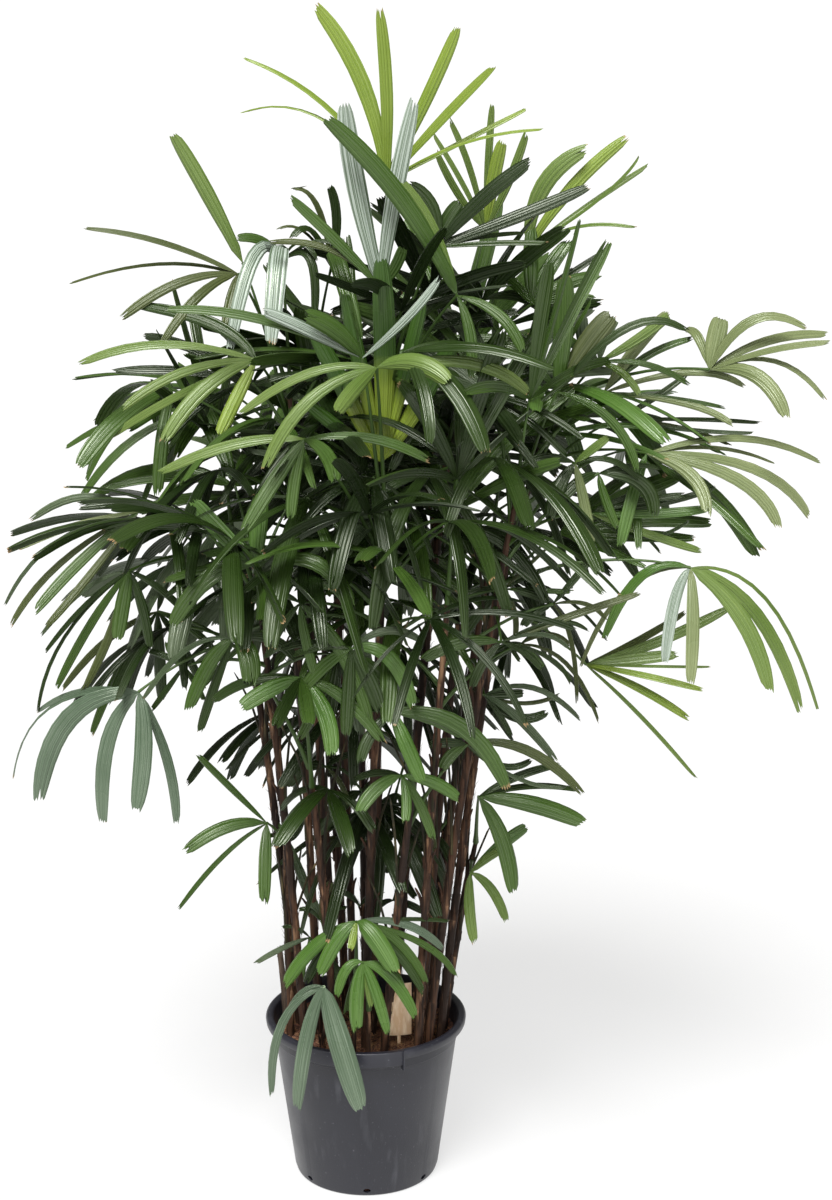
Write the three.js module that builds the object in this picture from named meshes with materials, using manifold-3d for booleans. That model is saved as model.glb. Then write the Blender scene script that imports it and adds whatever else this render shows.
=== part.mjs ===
// A lady palm (Rhapis excelsa) in a black nursery pot: a clump of reed-like canes, each topped by
// a head of fan-shaped fronds, with short suckers at its foot.
// Millimetres, +Z up. The origin is the middle of the pot's flat underside; the front looks along -Y.
//
// Each cane is a bare stem and, a hair above it, its leafy head in one or two tiers. A tier is one
// solid: a stretch of the leafy stem with its fronds. A frond is a petiole and a fan, and a fan is a
// thin blade cut nearly to its hub between segments that arch under their own weight.

import * as THREE from "three";
import { mergeVertices } from "three/addons/utils/BufferGeometryUtils.js";
import Module from "manifold-3d";

const wasm = await Module();
wasm.setup();

// ---------------------------------------------------------------- driving dimensions

const GAP = 0.3; // between neighbouring solids

const POT = {
  height: 294,
  footRadius: 125,
  footRound: 6,
  mouthRadius: 162, // outside, under the rim
  rimRadius: 176,
  rimDepth: 17,
  bevel: 2, // at the rim's edges
  wall: 4,
  floor: 5,
  sides: 36,
};
// Slots through the wall just above the foot: where their middles lie, and how they slope out.
const DRAINS = {
  count: 7,
  width: 13,
  height: 9,
  firstAzimuth: -90,
  lift: 13,
  tilt: -10,
  depth: 30,
  sides: 8,
};
// A tab down the rim, standing a little past its edge and above its top.
const RIM_TAB = { azimuth: -70, width: 4, depth: 12, height: 34, proud: 3, above: 2 };
const SOIL_TOP = 262;
const LABEL = { width: 44, height: 97, thickness: 1.5, at: [57, -70], turn: 6, stake: 8, lift: 17 };

// Cane radii at the foot and at the top of the bare stem, and of the leafy head at its tip.
const CANE = { foot: 9.5, top: 8, tip: 4.5, bend: 0.35, sides: 7, spans: 5, headSides: 5 };
const INTERNODE = 36; // along the stem, from frond to frond
const FRONDS_PER_TIER = 4;
const FOOT_DEPTH = 5; // how far a cane's line starts below the soil's top, for a level cut

// Each cane: where it leaves the soil, where its stem ends, how many fronds it bears, and the
// azimuth of its youngest frond, in degrees from +X towards +Y. The last three have lost theirs.
const CANES = [
  { foot: [12, -25], tip: [40, -20, 1460], fronds: 8, azimuth: 90 },
  { foot: [50, 30], tip: [165, 110, 1450], fronds: 8, azimuth: 20 },
  { foot: [-50, 0], tip: [-120, 20, 1390], fronds: 7, azimuth: 170 },
  { foot: [128, -50], tip: [260, -40, 1260], fronds: 7, azimuth: 0 },
  { foot: [-105, -62], tip: [-180, -90, 1150], fronds: 7, azimuth: 200 },
  { foot: [-2, -80], tip: [35, -175, 1220], fronds: 7, azimuth: 270 },
  { foot: [108, 40], tip: [215, 50, 1100], fronds: 6, azimuth: 15 },
  { foot: [-118, 25], tip: [-220, 80, 1130], fronds: 7, azimuth: 160 },
  { foot: [-35, 75], tip: [-95, 215, 1310], fronds: 7, azimuth: 120 },
  { foot: [45, 85], tip: [150, 245, 1210], fronds: 7, azimuth: 60 },
  { foot: [0, 118], tip: [-10, 270, 1130], fronds: 6, azimuth: 100 },
  { foot: [88, -110], tip: [135, -170, 1080], fronds: 6, azimuth: 300 },
  { foot: [-132, -20], tip: [-135, -45, 625], fronds: 1, azimuth: 60 },
  { foot: [136, 0], tip: [192, 20, 600], fronds: 2, azimuth: 90 },
  { foot: [82, 62], tip: [320, 110, 1350], fronds: 7, azimuth: 40 },
  { foot: [106, -79], tip: [245, -135, 1240], fronds: 6, azimuth: 330 },
  { foot: [-52, -68], tip: [-90, -160, 800], fronds: 3, azimuth: 250 },
  { foot: [30, -108], tip: [80, -180, 770], fronds: 3, azimuth: 290 },
  { foot: [-82, -22], tip: [-112, -35, 980], fronds: 0, azimuth: 0 },
  { foot: [-20, 30], tip: [-45, 60, 1040], fronds: 0, azimuth: 0 },
  { foot: [96, -20], tip: [160, -5, 1000], fronds: 0, azimuth: 0 },
];
// Short shoots from the clump's foot, each with a single fan, and slimmer than the canes.
const SUCKER_GIRTH = 0.6;
const SUCKERS = [
  { foot: [-22, -118], tip: [-16, -124, 420], fronds: 1, azimuth: 270 },
  { foot: [-76, -102], tip: [-68, -120, 335], fronds: 1, azimuth: 270 },
  { foot: [4, -128], tip: [5, -130, 355], fronds: 1, azimuth: 270 },
];
const DEAD_STUB = { foot: [-140, 42], tip: [-152, 50, 390], radii: [7, 5.5] };

// How a frond changes from the youngest on a cane to the oldest.
const TURN = 137.5; // from one frond to the next, round the stem
const FROND = {
  rise: [80, 22], // elevation of the hub, seen from the petiole's foot
  reach: [190, 215], // from the petiole's foot to the hub
  nod: [8, 32], // how far the fan's middle dips below the line to the hub
  roll: 50, // how much fans differ in their turn about the middle segment
  blade: [310, 310], // length of the middle segment
  spread: [110, 190], // angle between the outermost segments
  segments: [5, 6],
  droop: [0.25, 1.2], // how strongly a segment bends down along its length
};
const PETIOLE = { foot: 4.5, hub: 2.8, spans: 2 };
const FAN = { web: 36, above: 2, below: 6, width: 42, keel: 4, tipKeel: 3, narrowing: 0.35, shortening: 0.22 };

// Fronds that give the crown its outline: cane, rank from the youngest, place of the hub, aim of
// the middle segment (azimuth, elevation, roll), its length, spread, segments and droop.
const OUTLINE_FRONDS = [
  [0, 0, [40, -20, 1740], [92, 78, 0], 290, 130, 7, 0.1],
  [0, 1, [20, -90, 1580], [92, 80, 0], 315, 62, 4, 0.1],
  [0, 2, [110, -60, 1630], [-10, 42, 75], 290, 105, 5, 0.15],
  [0, 3, [130, -130, 1570], [160, 58, -60], 345, 62, 4, 0.15],
  [0, 4, [60, -240, 1500], [330, 12, 20], 260, 90, 4, 1.2],
  [0, 5, [40, -150, 1450], [262, 82, 0], 240, 120, 5, 0.5],
  [1, 0, [200, 170, 1650], [75, 78, 0], 210, 120, 6, 0.1],
  [1, 1, [250, 120, 1630], [5, 44, 60], 240, 70, 4, 0.1],
  [1, 2, [280, 60, 1530], [40, 60, 40], 140, 110, 5, 0.4],
  [1, 3, [200, 100, 1530], [300, 60, 0], 230, 120, 5, 0.8],
  [2, 0, [-190, 0, 1610], [182, 24, -16], 275, 120, 6, 0.6],
  [2, 1, [-100, -30, 1650], [262, 25, 0], 285, 120, 5, 2],
  [2, 2, [-160, -120, 1470], [186, 18, -15], 310, 160, 6, 0.9],
  [2, 3, [-210, 60, 1590], [180, 60, -80], 250, 24, 2, 0.05],
  [2, 4, [-310, 0, 1400], [186, 12, -20], 250, 150, 6, 1.5],
  [3, 0, [440, 40, 1420], [50, 50, 30], 150, 130, 5, 0.8],
  [3, 2, [300, -60, 1390], [350, 40, 30], 220, 130, 5, 0.8],
  [3, 4, [340, -70, 1300], [-30, 20, 20], 230, 150, 6, 1.2],
  [3, 5, [540, -60, 1110], [-5, 25, 0], 300, 200, 6, 2.1],
  [4, 0, [-370, -20, 1200], [180, 10, -20], 235, 160, 6, 0.9],
  [4, 1, [-170, -220, 1160], [230, 45, -20], 260, 210, 7, 1.1],
  [4, 4, [-370, -120, 920], [200, 18, -10], 280, 170, 6, 2],
  [4, 5, [-20, -250, 1040], [290, 10, 0], 220, 180, 6, 1.3],
  [5, 0, [30, -260, 1480], [240, 18, 0], 300, 190, 6, 1.3],
  [5, 1, [-50, -200, 1480], [195, 25, -30], 300, 90, 4, 0.6],
  [5, 2, [-90, -260, 1370], [262, 8, 0], 290, 200, 6, 1.1],
  [6, 2, [370, 20, 920], [0, -3, 35], 255, 90, 6, 0.2],
  [6, 3, [330, 60, 1140], [2, 20, 25], 270, 80, 5, 0.3],
  [6, 5, [200, -100, 900], [-15, 0, 30], 190, 110, 5, 0.5],
  [7, 1, [-360, -60, 1130], [188, 2, -20], 265, 170, 6, 1.3],
  [7, 6, [-350, 50, 1010], [178, 0, -10], 240, 150, 5, 0.9],
  [8, 0, [-10, 150, 1640], [150, 25, -30], 240, 120, 5, 0.6],
  [11, 5, [260, -40, 960], [-5, 5, 20], 150, 150, 5, 0.9],
  [12, 0, [-160, -80, 680], [182, 0, -50], 165, 160, 5, 0.4],
  [13, 0, [190, -110, 730], [-22, 8, 30], 205, 120, 4, 0.9],
  [13, 1, [180, -110, 600], [-15, 5, 60], 135, 150, 5, 0.8],
  [14, 0, [570, 0, 1430], [2, 20, 40], 205, 190, 7, 0.7],
  [14, 3, [470, 0, 1290], [0, 14, 20], 285, 150, 6, 0.8],
  [14, 4, [410, 60, 1360], [2, 16, 20], 270, 120, 5, 0.4],
  [15, 2, [410, -20, 1230], [10, 5, 10], 200, 120, 5, 0.6],
  [16, 0, [-210, -190, 1030], [235, 12, 0], 240, 180, 6, 1.6],
  [16, 1, [-100, -240, 980], [262, 8, 0], 210, 190, 6, 1.7],
  [16, 2, [-60, -150, 760], [240, 0, 0], 160, 170, 5, 1],
  [17, 0, [10, -250, 910], [255, 10, 0], 190, 170, 6, 1.5],
  [17, 1, [90, -240, 840], [280, 8, 0], 170, 190, 6, 1.6],
  [17, 2, [180, -120, 820], [-20, 8, 30], 215, 110, 5, 0.9],
  [21, 0, [-20, -150, 530], [270, 10, 0], 185, 190, 7, 1.4],
  [22, 0, [-80, -190, 420], [262, 8, 0], 240, 110, 4, 2.5],
  [23, 0, [0, -170, 460], [275, 0, 0], 140, 120, 5, 2.4],
];

// Along a segment: the share of its length, and of its full width, at each station.
const STATIONS = [
  { at: 0.5, width: 1 },
  { at: 1, width: 0.5 },
];
const BENT_STATIONS = [
  { at: 0.35, width: 0.9 },
  { at: 0.7, width: 1 },
  { at: 1, width: 0.5 },
];
const BENT = 1.25; // the droop above which a segment has the stations of a bent one
const ARC_STEPS = 20;
const CLEARANCE = 0.5; // least gap between a leaf and anything else

// What a frond tries in turn until its petiole and hub have room among the canes: how far it is
// turned aside, in degrees, its petiole's hump, and how far out its hub is.
const HUB_ROOM = 34;
const PETIOLE_ROOM = 19;
const TURNS_ASIDE = [0, 12, -12, 24, -24, 36, -36, 50, -50, 64, -64];
const PETIOLE_SHAPES = [0.16, 0.3, 0.04, 0.45].flatMap((hump) => [1, 0.9, 1.08].map((pull) => [hump, pull]));

// What a segment tries in turn until it is clear: turned in the fan, bent more or less, shorter.
const NUDGES = [1, 0.85, 0.7, 0.5].flatMap((trim) =>
  [1, 0.6, 1.4, 0.2, 1.8].flatMap((bend) => [0, 4, -4].map((turn) => ({ turn, bend, trim }))),
);

// ---------------------------------------------------------------- helpers

const rad = THREE.MathUtils.degToRad;
const UP = new THREE.Vector3(0, 0, 1);
const mix = ([a, b], t) => a + (b - a) * t;
const count = (n, make) => Array.from({ length: n }, (_, i) => make(i));

/** A repeatable number from 0 to 1 for two whole numbers. */
function chance(a, b) {
  const s = Math.sin(a * 127.1 + b * 311.7) * 43758.5453;
  return s - Math.floor(s);
}

/** A repeatable number within half of span either way. */
const wobble = (span, a, b) => span * (chance(a, b) - 0.5);

/** The unit vector at an azimuth from +X towards +Y and an elevation above the ground. */
function heading(azimuth, elevation) {
  const [a, e] = [rad(azimuth), rad(elevation)];
  return new THREE.Vector3(Math.cos(e) * Math.cos(a), Math.cos(e) * Math.sin(a), Math.sin(e));
}

/** The point reached from a start by going a distance along each of some directions. */
function step(start, ...moves) {
  const point = start.clone();
  for (const [direction, distance] of moves) point.addScaledVector(direction, distance);
  return point;
}

function geometryOf(points, triangles) {
  const geometry = new THREE.BufferGeometry().setFromPoints(points);
  geometry.setIndex(triangles);
  return geometry;
}

/** A closed geometry as a solid that can be joined, cut and measured. */
function solidOf(geometry) {
  const bare = new THREE.BufferGeometry();
  bare.setAttribute("position", geometry.getAttribute("position"));
  bare.setIndex(geometry.getIndex());
  const merged = mergeVertices(bare, 1e-3);
  const vertProperties = new Float32Array(merged.attributes.position.array);
  const triVerts = new Uint32Array(merged.index.array);
  return new wasm.Manifold(new wasm.Mesh({ numProp: 3, vertProperties, triVerts }));
}

/** A solid as a geometry for a mesh. */
function geometryFrom(solid) {
  const { vertProperties, triVerts, numProp } = solid.getMesh();
  const positions = count(vertProperties.length / numProp, (i) =>
    new THREE.Vector3().fromArray(vertProperties, i * numProp),
  );
  const geometry = geometryOf(positions, [...triVerts]);
  geometry.computeVertexNormals();
  return geometry;
}

/** Faces between successive rings of as many points, and a flat cap on the last ring. */
function ringFaces(rings, sides) {
  const faces = [];
  for (let i = 0; i + 1 < rings; i++)
    for (let k = 0; k < sides; k++) {
      const [a, b] = [i * sides + k, i * sides + ((k + 1) % sides)];
      faces.push(a, b, b + sides, a, b + sides, a + sides);
    }
  const last = (rings - 1) * sides;
  for (let k = 1; k + 1 < sides; k++) faces.push(last, last + k, last + k + 1);
  return faces;
}

/** Rings of points round a path, each turned from the last as little as the path allows. */
function ringsAlong(path, radii, sides, firstSide) {
  let side = firstSide;
  return path.flatMap((centre, i) => {
    const ahead = path[Math.min(i + 1, path.length - 1)];
    const behind = path[Math.max(i - 1, 0)];
    const along = ahead.clone().sub(behind).normalize();
    side = step(side, [along, -side.dot(along)]).normalize();
    const other = along.clone().cross(side);
    return count(sides, (k) => {
      const angle = (k / sides) * 2 * Math.PI;
      return step(centre, [side, radii[i] * Math.cos(angle)], [other, radii[i] * Math.sin(angle)]);
    });
  });
}

/** A closed limb through circles of given radii along a path. */
function limb(path, radii, sides) {
  const faces = ringFaces(path.length, sides);
  for (let k = 1; k + 1 < sides; k++) faces.push(0, k + 1, k);
  return geometryOf(ringsAlong(path, radii, sides, new THREE.Vector3(1, 0, 0)), faces);
}

// ---------------------------------------------------------------- pot, soil and label

/** The pot's wall, turned: up the outside, over the rolled rim and down the inside. */
function potGeometry() {
  const { height, footRadius, footRound, mouthRadius, rimRadius, rimDepth, bevel, wall, floor, sides } = POT;
  const profile = new THREE.Path();
  profile.moveTo(0, 0);
  profile.lineTo(footRadius - footRound, 0);
  profile.quadraticCurveTo(footRadius, 0, footRadius + bevel, footRound);
  profile.lineTo(mouthRadius, height - rimDepth);
  profile.lineTo(rimRadius - bevel, height - rimDepth);
  profile.lineTo(rimRadius, height - rimDepth / 2);
  profile.lineTo(rimRadius - bevel, height);
  profile.lineTo(mouthRadius, height - bevel);
  profile.lineTo(mouthRadius - wall, height - rimDepth);
  profile.lineTo(footRadius - wall, footRound);
  profile.lineTo(footRadius - footRound, floor);
  profile.lineTo(0, floor);
  return new THREE.LatheGeometry(profile.getPoints(4), sides).rotateX(Math.PI / 2);
}

function drainGeometry(azimuth) {
  const { width, height, lift, tilt, depth, sides } = DRAINS;
  const bore = new THREE.CylinderGeometry(width / 2, width / 2, depth, sides);
  bore.scale(1, 1, height / width);
  const turn = new THREE.Quaternion().setFromUnitVectors(new THREE.Vector3(0, 1, 0), heading(azimuth, tilt));
  const middle = step(new THREE.Vector3(0, 0, lift), [heading(azimuth, 0), POT.footRadius]);
  return bore.applyQuaternion(turn).translate(...middle);
}

function rimTabGeometry() {
  const { azimuth, width, depth, height, proud, above } = RIM_TAB;
  const tab = new THREE.BoxGeometry(depth, width, height);
  const [out, up] = [POT.rimRadius + proud - depth / 2, POT.height + above - height / 2];
  return tab.translate(out, 0, up).rotateZ(rad(azimuth));
}

/** The pot: drain slots through its wall just above the foot, and a tab down the rim. */
function potSolid() {
  const drains = count(DRAINS.count, (i) =>
    solidOf(drainGeometry(DRAINS.firstAzimuth + (i * 360) / DRAINS.count)),
  );
  return solidOf(potGeometry()).subtract(wasm.Manifold.union(drains)).add(solidOf(rimTabGeometry()));
}

/** The soil fills the pot, a gap clear of its wall, up to a level top. */
function soilGeometry() {
  const { height, footRadius, footRound, mouthRadius, rimDepth, wall, floor, sides } = POT;
  const foot = footRadius - wall - 2 * GAP;
  const slope = (mouthRadius - footRadius) / (height - rimDepth - footRound);
  const profile = [
    [0, floor + GAP],
    [footRadius - footRound - GAP, floor + GAP],
    [foot, footRound],
    [foot + slope * (SOIL_TOP - footRound), SOIL_TOP],
    [0, SOIL_TOP],
  ].map(([x, y]) => new THREE.Vector2(x, y));
  return new THREE.LatheGeometry(profile, sides).rotateX(Math.PI / 2);
}

/** The plant label: a bare card on a narrow stake that stands in the soil. */
function labelGeometry() {
  const { width, height, thickness, at, turn, stake, lift } = LABEL;
  const card = new THREE.Shape();
  card.moveTo(-stake / 2, 0);
  card.lineTo(stake / 2, 0);
  card.lineTo(stake / 2, lift);
  card.lineTo(width / 2, lift);
  card.lineTo(width / 2, lift + height);
  card.lineTo(-width / 2, lift + height);
  card.lineTo(-width / 2, lift);
  card.lineTo(-stake / 2, lift);
  const geometry = new THREE.ExtrudeGeometry(card, { depth: thickness, bevelEnabled: false });
  return geometry.rotateX(Math.PI / 2).rotateZ(rad(turn)).translate(...at, SOIL_TOP + GAP);
}

// ---------------------------------------------------------------- canes

/** The line of a cane or stub: nearly straight up out of the soil, then leaning out to its tip. */
function caneLine({ foot: [x, y], tip }) {
  const start = new THREE.Vector3(x, y, SOIL_TOP - FOOT_DEPTH);
  const end = new THREE.Vector3(...tip);
  const middle = start.clone().lerp(end, CANE.bend).setZ((start.z + end.z) / 2);
  return new THREE.QuadraticBezierCurve3(start, middle, end);
}

/** Cuts a foot level, a gap above the soil. */
const standing = (solid) => solid.trimByPlane([0, 0, 1], SOIL_TOP + GAP);

const canes = [...CANES, ...SUCKERS].map((row, index) => {
  const line = caneLine(row);
  const length = line.getLength();
  const bare = 1 - (INTERNODE * row.fronds) / length;
  return { ...row, index, line, length, bare, isSucker: index >= CANES.length };
});
const canePoints = canes.map((cane) => cane.line.getPoints(40));

/** A stretch of a cane between two shares of its length. */
function stretch(cane, fromShare, toShare, spans, sides) {
  const girth = cane.isSucker ? SUCKER_GIRTH : 1;
  const radius = (share) =>
    share <= cane.bare
      ? girth * mix([CANE.foot, CANE.top], share / cane.bare)
      : girth * mix([CANE.top, CANE.tip], (share - cane.bare) / (1 - cane.bare));
  const shares = count(spans + 1, (i) => mix([fromShare, toShare], i / spans));
  return solidOf(limb(shares.map((s) => cane.line.getPoint(s)), shares.map(radius), sides));
}

// ---------------------------------------------------------------- fronds

/** The rule for the frond of a given rank on a cane, counted from the youngest. */
function frondRule(cane, rank) {
  const age = cane.fronds > 1 ? rank / (cane.fronds - 1) : 0;
  const key = cane.index * 20 + rank;
  const rise = mix(FROND.rise, age ** 0.8) + wobble(10, key, 1);
  const rule = {
    rise,
    reach: mix(FROND.reach, age) + wobble(50, key, 2),
    aim: [cane.azimuth + TURN * rank, rise - mix(FROND.nod, age), wobble(FROND.roll, key, 7)],
    blade: mix(FROND.blade, age) + wobble(50, key, 3),
    spread: mix(FROND.spread, age) + wobble(20, key, 4),
    segments: Math.round(mix(FROND.segments, age) + wobble(1, key, 5)),
    droop: mix(FROND.droop, age) + wobble(0.3, key, 6),
  };
  const own = OUTLINE_FRONDS.find((row) => row[0] === cane.index && row[1] === rank);
  if (!own) return rule;
  const [, , hub, aim, blade, spread, segments, droop] = own;
  return { ...rule, hub, aim, blade, spread, segments, droop };
}

/** A petiole's line, humped a little, from the stem to the hub of its fan. */
function petioleLine(start, hub, hump) {
  const middle = start.clone().lerp(hub, 0.5);
  middle.z += hump * start.distanceTo(hub);
  return new THREE.QuadraticBezierCurve3(start, middle, hub);
}

/** The least distance from any of some points to any of some others. */
const leastDistance = (points, others) =>
  Math.min(...points.map((p) => Math.min(...others.map((q) => p.distanceTo(q)))));

/** Turns a frond aside until its petiole and hub pass clear of the other canes. */
function petioleOf(cane, rank, rule, [hump, pull]) {
  const start = cane.line.getPoint(1 - (INTERNODE * rank) / cane.length);
  if (rule.hub) return petioleLine(start, start.clone().lerp(new THREE.Vector3(...rule.hub), pull), hump);
  const others = canePoints.filter((_, i) => i !== cane.index).flat();
  const [azimuth, elevation, roll] = rule.aim;
  const lineAt = (turn) => {
    const hub = step(start, [heading(azimuth + turn, rule.rise), rule.reach * pull]);
    return petioleLine(start, hub, hump);
  };
  const turn = TURNS_ASIDE.find((aside) => {
    const points = lineAt(aside).getPoints(8).slice(2);
    const room = leastDistance(points, others);
    return room > PETIOLE_ROOM && leastDistance([points.at(-1)], others) > HUB_ROOM;
  });
  rule.aim = [azimuth + (turn ?? 0), elevation, roll];
  return lineAt(turn ?? 0);
}

/** Where a frond grows: its petiole, and the frame, angles and notches of its fan. */
function planFrond(cane, rank, shape) {
  const rule = frondRule(cane, rank);
  const petiole = petioleOf(cane, rank, rule, shape);
  const hub = petiole.getPoint(1);
  const [azimuth, elevation, roll] = rule.aim;
  const forward = heading(azimuth, elevation);
  const normal = heading(azimuth, elevation + 90).applyAxisAngle(forward, rad(roll));
  const sideways = normal.clone().cross(forward);
  const ray = (angle) =>
    step(new THREE.Vector3(), [forward, Math.cos(rad(angle))], [sideways, Math.sin(rad(angle))]);
  const between = rule.spread / (rule.segments - 1);
  const angles = count(rule.segments, (i) => (i - (rule.segments - 1) / 2) * between);
  const edges = [...angles, angles.at(-1) + between].map((angle) => angle - between / 2);
  const notches = edges.map((angle) => step(hub, [ray(angle), FAN.web]));
  return { cane, rank, rule, petiole, hub, normal, sideways, ray, angles, notches };
}

/** Points and directions along a segment that leaves the hub and sinks under its own weight. */
function segmentArc(hub, direction, normal, length, droop) {
  const along = direction.clone();
  const across = normal.clone().cross(direction);
  let point = hub;
  return count(ARC_STEPS, () => {
    along.addScaledVector(UP, -droop / ARC_STEPS).normalize();
    across.addScaledVector(along, -across.dot(along)).normalize();
    point = step(point, [along, length / ARC_STEPS]);
    return { point, across: across.clone(), along: along.clone() };
  });
}

/** One sector of a fan: its keel at the web's edge, and the stations of its strip. */
function sectorOf({ rule, hub, normal, ray, angles }, i, { turn = 0, bend = 1, trim = 1 } = {}) {
  const outness = Math.abs(angles[i]) / (rule.spread / 2);
  const length = rule.blade * (1 - FAN.shortening * outness ** 2) * trim;
  const width = FAN.width * (1 - FAN.narrowing * outness ** 2);
  const arc = segmentArc(hub, ray(angles[i] + turn), normal, length, rule.droop * bend);
  const stations = (rule.droop > BENT ? BENT_STATIONS : STATIONS).map(({ at, width: share }) => {
    const { point, across, along } = arc[Math.round(at * ARC_STEPS) - 1];
    const below = across.clone().cross(along);
    const half = (width * share) / 2;
    return {
      right: step(point, [across, -half]),
      left: step(point, [across, half]),
      keel: step(point, [below, at === 1 ? FAN.tipKeel : FAN.keel]),
    };
  });
  return { keel: step(hub, [ray(angles[i]), FAN.web], [normal, -FAN.keel]), stations };
}

const stump = (sector) => ({ ...sector, stations: [] });

/** A fan on its petiole, or some neighbouring sectors of the fan alone, as one closed surface. */
function frondSolid(frond, sectors, { first = 0, withPetiole = true } = {}) {
  const { hub, normal, sideways, petiole, notches } = frond;
  const rim = notches.slice(first, first + sectors.length + 1);
  // The loop that the petiole runs into: left, below, right and above the hub.
  const points = [
    rim.at(-1),
    step(hub, [normal, -FAN.below]),
    rim[0],
    step(hub, [normal, FAN.above]),
  ];
  const [BELOW, ABOVE] = [1, 3];
  const faces = [];
  if (withPetiole) {
    const back = step(hub, [petiole.getTangent(1), -FAN.web / 3]);
    const path = [back, ...count(PETIOLE.spans, (i) => petiole.getPoint(1 - (i + 1) / PETIOLE.spans))];
    const radii = path.map((_, i) => mix([PETIOLE.hub, PETIOLE.foot], i / PETIOLE.spans));
    points.push(...ringsAlong(path, radii, 4, sideways));
    faces.push(...ringFaces(path.length + 1, 4));
  } else {
    faces.push(0, 1, 2, 0, 2, 3);
  }
  const add = (p) => points.push(p) - 1;
  const edge = rim.map((p, i) => (i === 0 ? 2 : i === rim.length - 1 ? 0 : add(p)));
  sectors.forEach(({ keel, stations }, i) => {
    let [right, left, below] = [edge[i], edge[i + 1], add(keel)];
    faces.push(ABOVE, right, left, BELOW, below, right, BELOW, left, below);
    for (const next of stations) {
      const [r, l, b] = [add(next.right), add(next.left), add(next.keel)];
      faces.push(right, r, l, right, l, left, right, below, b, right, b, r);
      faces.push(below, left, l, below, l, b);
      [right, left, below] = [r, l, b];
    }
    faces.push(left, right, below);
  });
  return solidOf(geometryOf(points, faces));
}

// ---------------------------------------------------------------- room for every leaf

const placed = [];
const place = (solid, owner) => placed.push({ solid, owner, box: solid.boundingBox() });

const boxesMeet = (a, b) =>
  [0, 1, 2].every((i) => a.min[i] - CLEARANCE < b.max[i] && b.min[i] - CLEARANCE < a.max[i]);

/** True where a solid keeps its clearance from all that is placed, apart from its own frond and stem. */
function isClear(solid, owners) {
  const box = solid.boundingBox();
  return placed.every(
    (other) =>
      owners.includes(other.owner) ||
      !boxesMeet(box, other.box) ||
      solid.minGap(other.solid, 2 * CLEARANCE) >= CLEARANCE,
  );
}

/** The bare stem of a cane and its leafy head cut into tiers, or a sucker whole from the soil. */
function addStem(cane) {
  const tiers = Math.ceil(cane.fronds / FRONDS_PER_TIER);
  const bounds = count(tiers + 1, (t) => Math.round((t * cane.fronds) / tiers));
  const shareAt = (rank) => 1 - (INTERNODE * (rank - 0.5)) / cane.length;
  const lift = GAP / cane.length;
  if (!cane.isSucker) {
    cane.stem = standing(stretch(cane, 0, cane.bare, CANE.spans, CANE.sides));
    place(cane.stem, cane);
  }
  cane.tiers = count(tiers, (t) => {
    const top = t === 0 ? 1 : shareAt(bounds[t]);
    const bottom = t === tiers - 1 ? cane.bare : shareAt(bounds[t + 1]);
    const from = cane.isSucker ? 0 : bottom + lift;
    const stem = standing(stretch(cane, from, top, 1, CANE.headSides));
    const tier = { stem, end: bounds[t + 1] };
    place(tier.stem, tier);
    return tier;
  });
}

/** Places the petiole and the web of a frond in the first shape that there is room for, if any. */
function startFrond({ cane, rank }) {
  const tier = cane.tiers.find(({ end }) => rank < end);
  for (const shape of PETIOLE_SHAPES) {
    const frond = { tier, ...planFrond(cane, rank, shape) };
    const bare = frondSolid(frond, frond.angles.map((_, i) => stump(sectorOf(frond, i))));
    if (!isClear(bare, [tier])) continue;
    place(bare, frond);
    return [frond];
  }
  return [];
}

/** Grows the segments of a frond one by one, each into room that it finds. */
function growFrond(frond) {
  frond.sectors = frond.angles.map((_, i) => {
    const tries = NUDGES.map((nudge) => sectorOf(frond, i, nudge));
    for (const sector of tries) {
      const solid = frondSolid(frond, [sector], { first: i, withPetiole: false });
      if (!isClear(solid, [frond])) continue;
      place(solid, frond);
      return sector;
    }
    return stump(tries[0]);
  });
}

// ---------------------------------------------------------------- the model

const colour = (color, roughness) => new THREE.MeshStandardMaterial({ color, roughness });
const MATERIALS = {
  pot: colour(0x2c2d31, 0.55),
  soil: colour(0x3d2417, 0.95),
  label: colour(0xb98f63, 0.8),
  cane: colour(0x4a3324, 0.8),
  leaf: colour(0x2c5a28, 0.45),
};
const palm = new THREE.Group();

function addMesh(name, geometry, material) {
  const mesh = new THREE.Mesh(geometry, material);
  mesh.name = name;
  palm.add(mesh);
}

const pot = potSolid();
addMesh("pot", geometryFrom(pot), MATERIALS.pot);
addMesh("soil", soilGeometry(), MATERIALS.soil);
addMesh("plant_label", labelGeometry(), MATERIALS.label);
place(pot, "pot");
place(solidOf(labelGeometry()), "label");
place(solidOf(soilGeometry()), "soil");

const stubLine = caneLine(DEAD_STUB);
const stub = standing(solidOf(limb(stubLine.getPoints(1), DEAD_STUB.radii, CANE.headSides)));
addMesh("dead_stub", geometryFrom(stub), MATERIALS.cane);
place(stub, "stub");

canes.forEach(addStem);
const isOutline = ({ cane, rank }) =>
  OUTLINE_FRONDS.some((row) => row[0] === cane.index && row[1] === rank);
const wanted = canes.flatMap((cane) => count(cane.fronds, (rank) => ({ cane, rank })));
wanted.sort((a, b) => isOutline(b) - isOutline(a));
const fronds = wanted.flatMap(startFrond);
fronds.forEach(growFrond);

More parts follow.
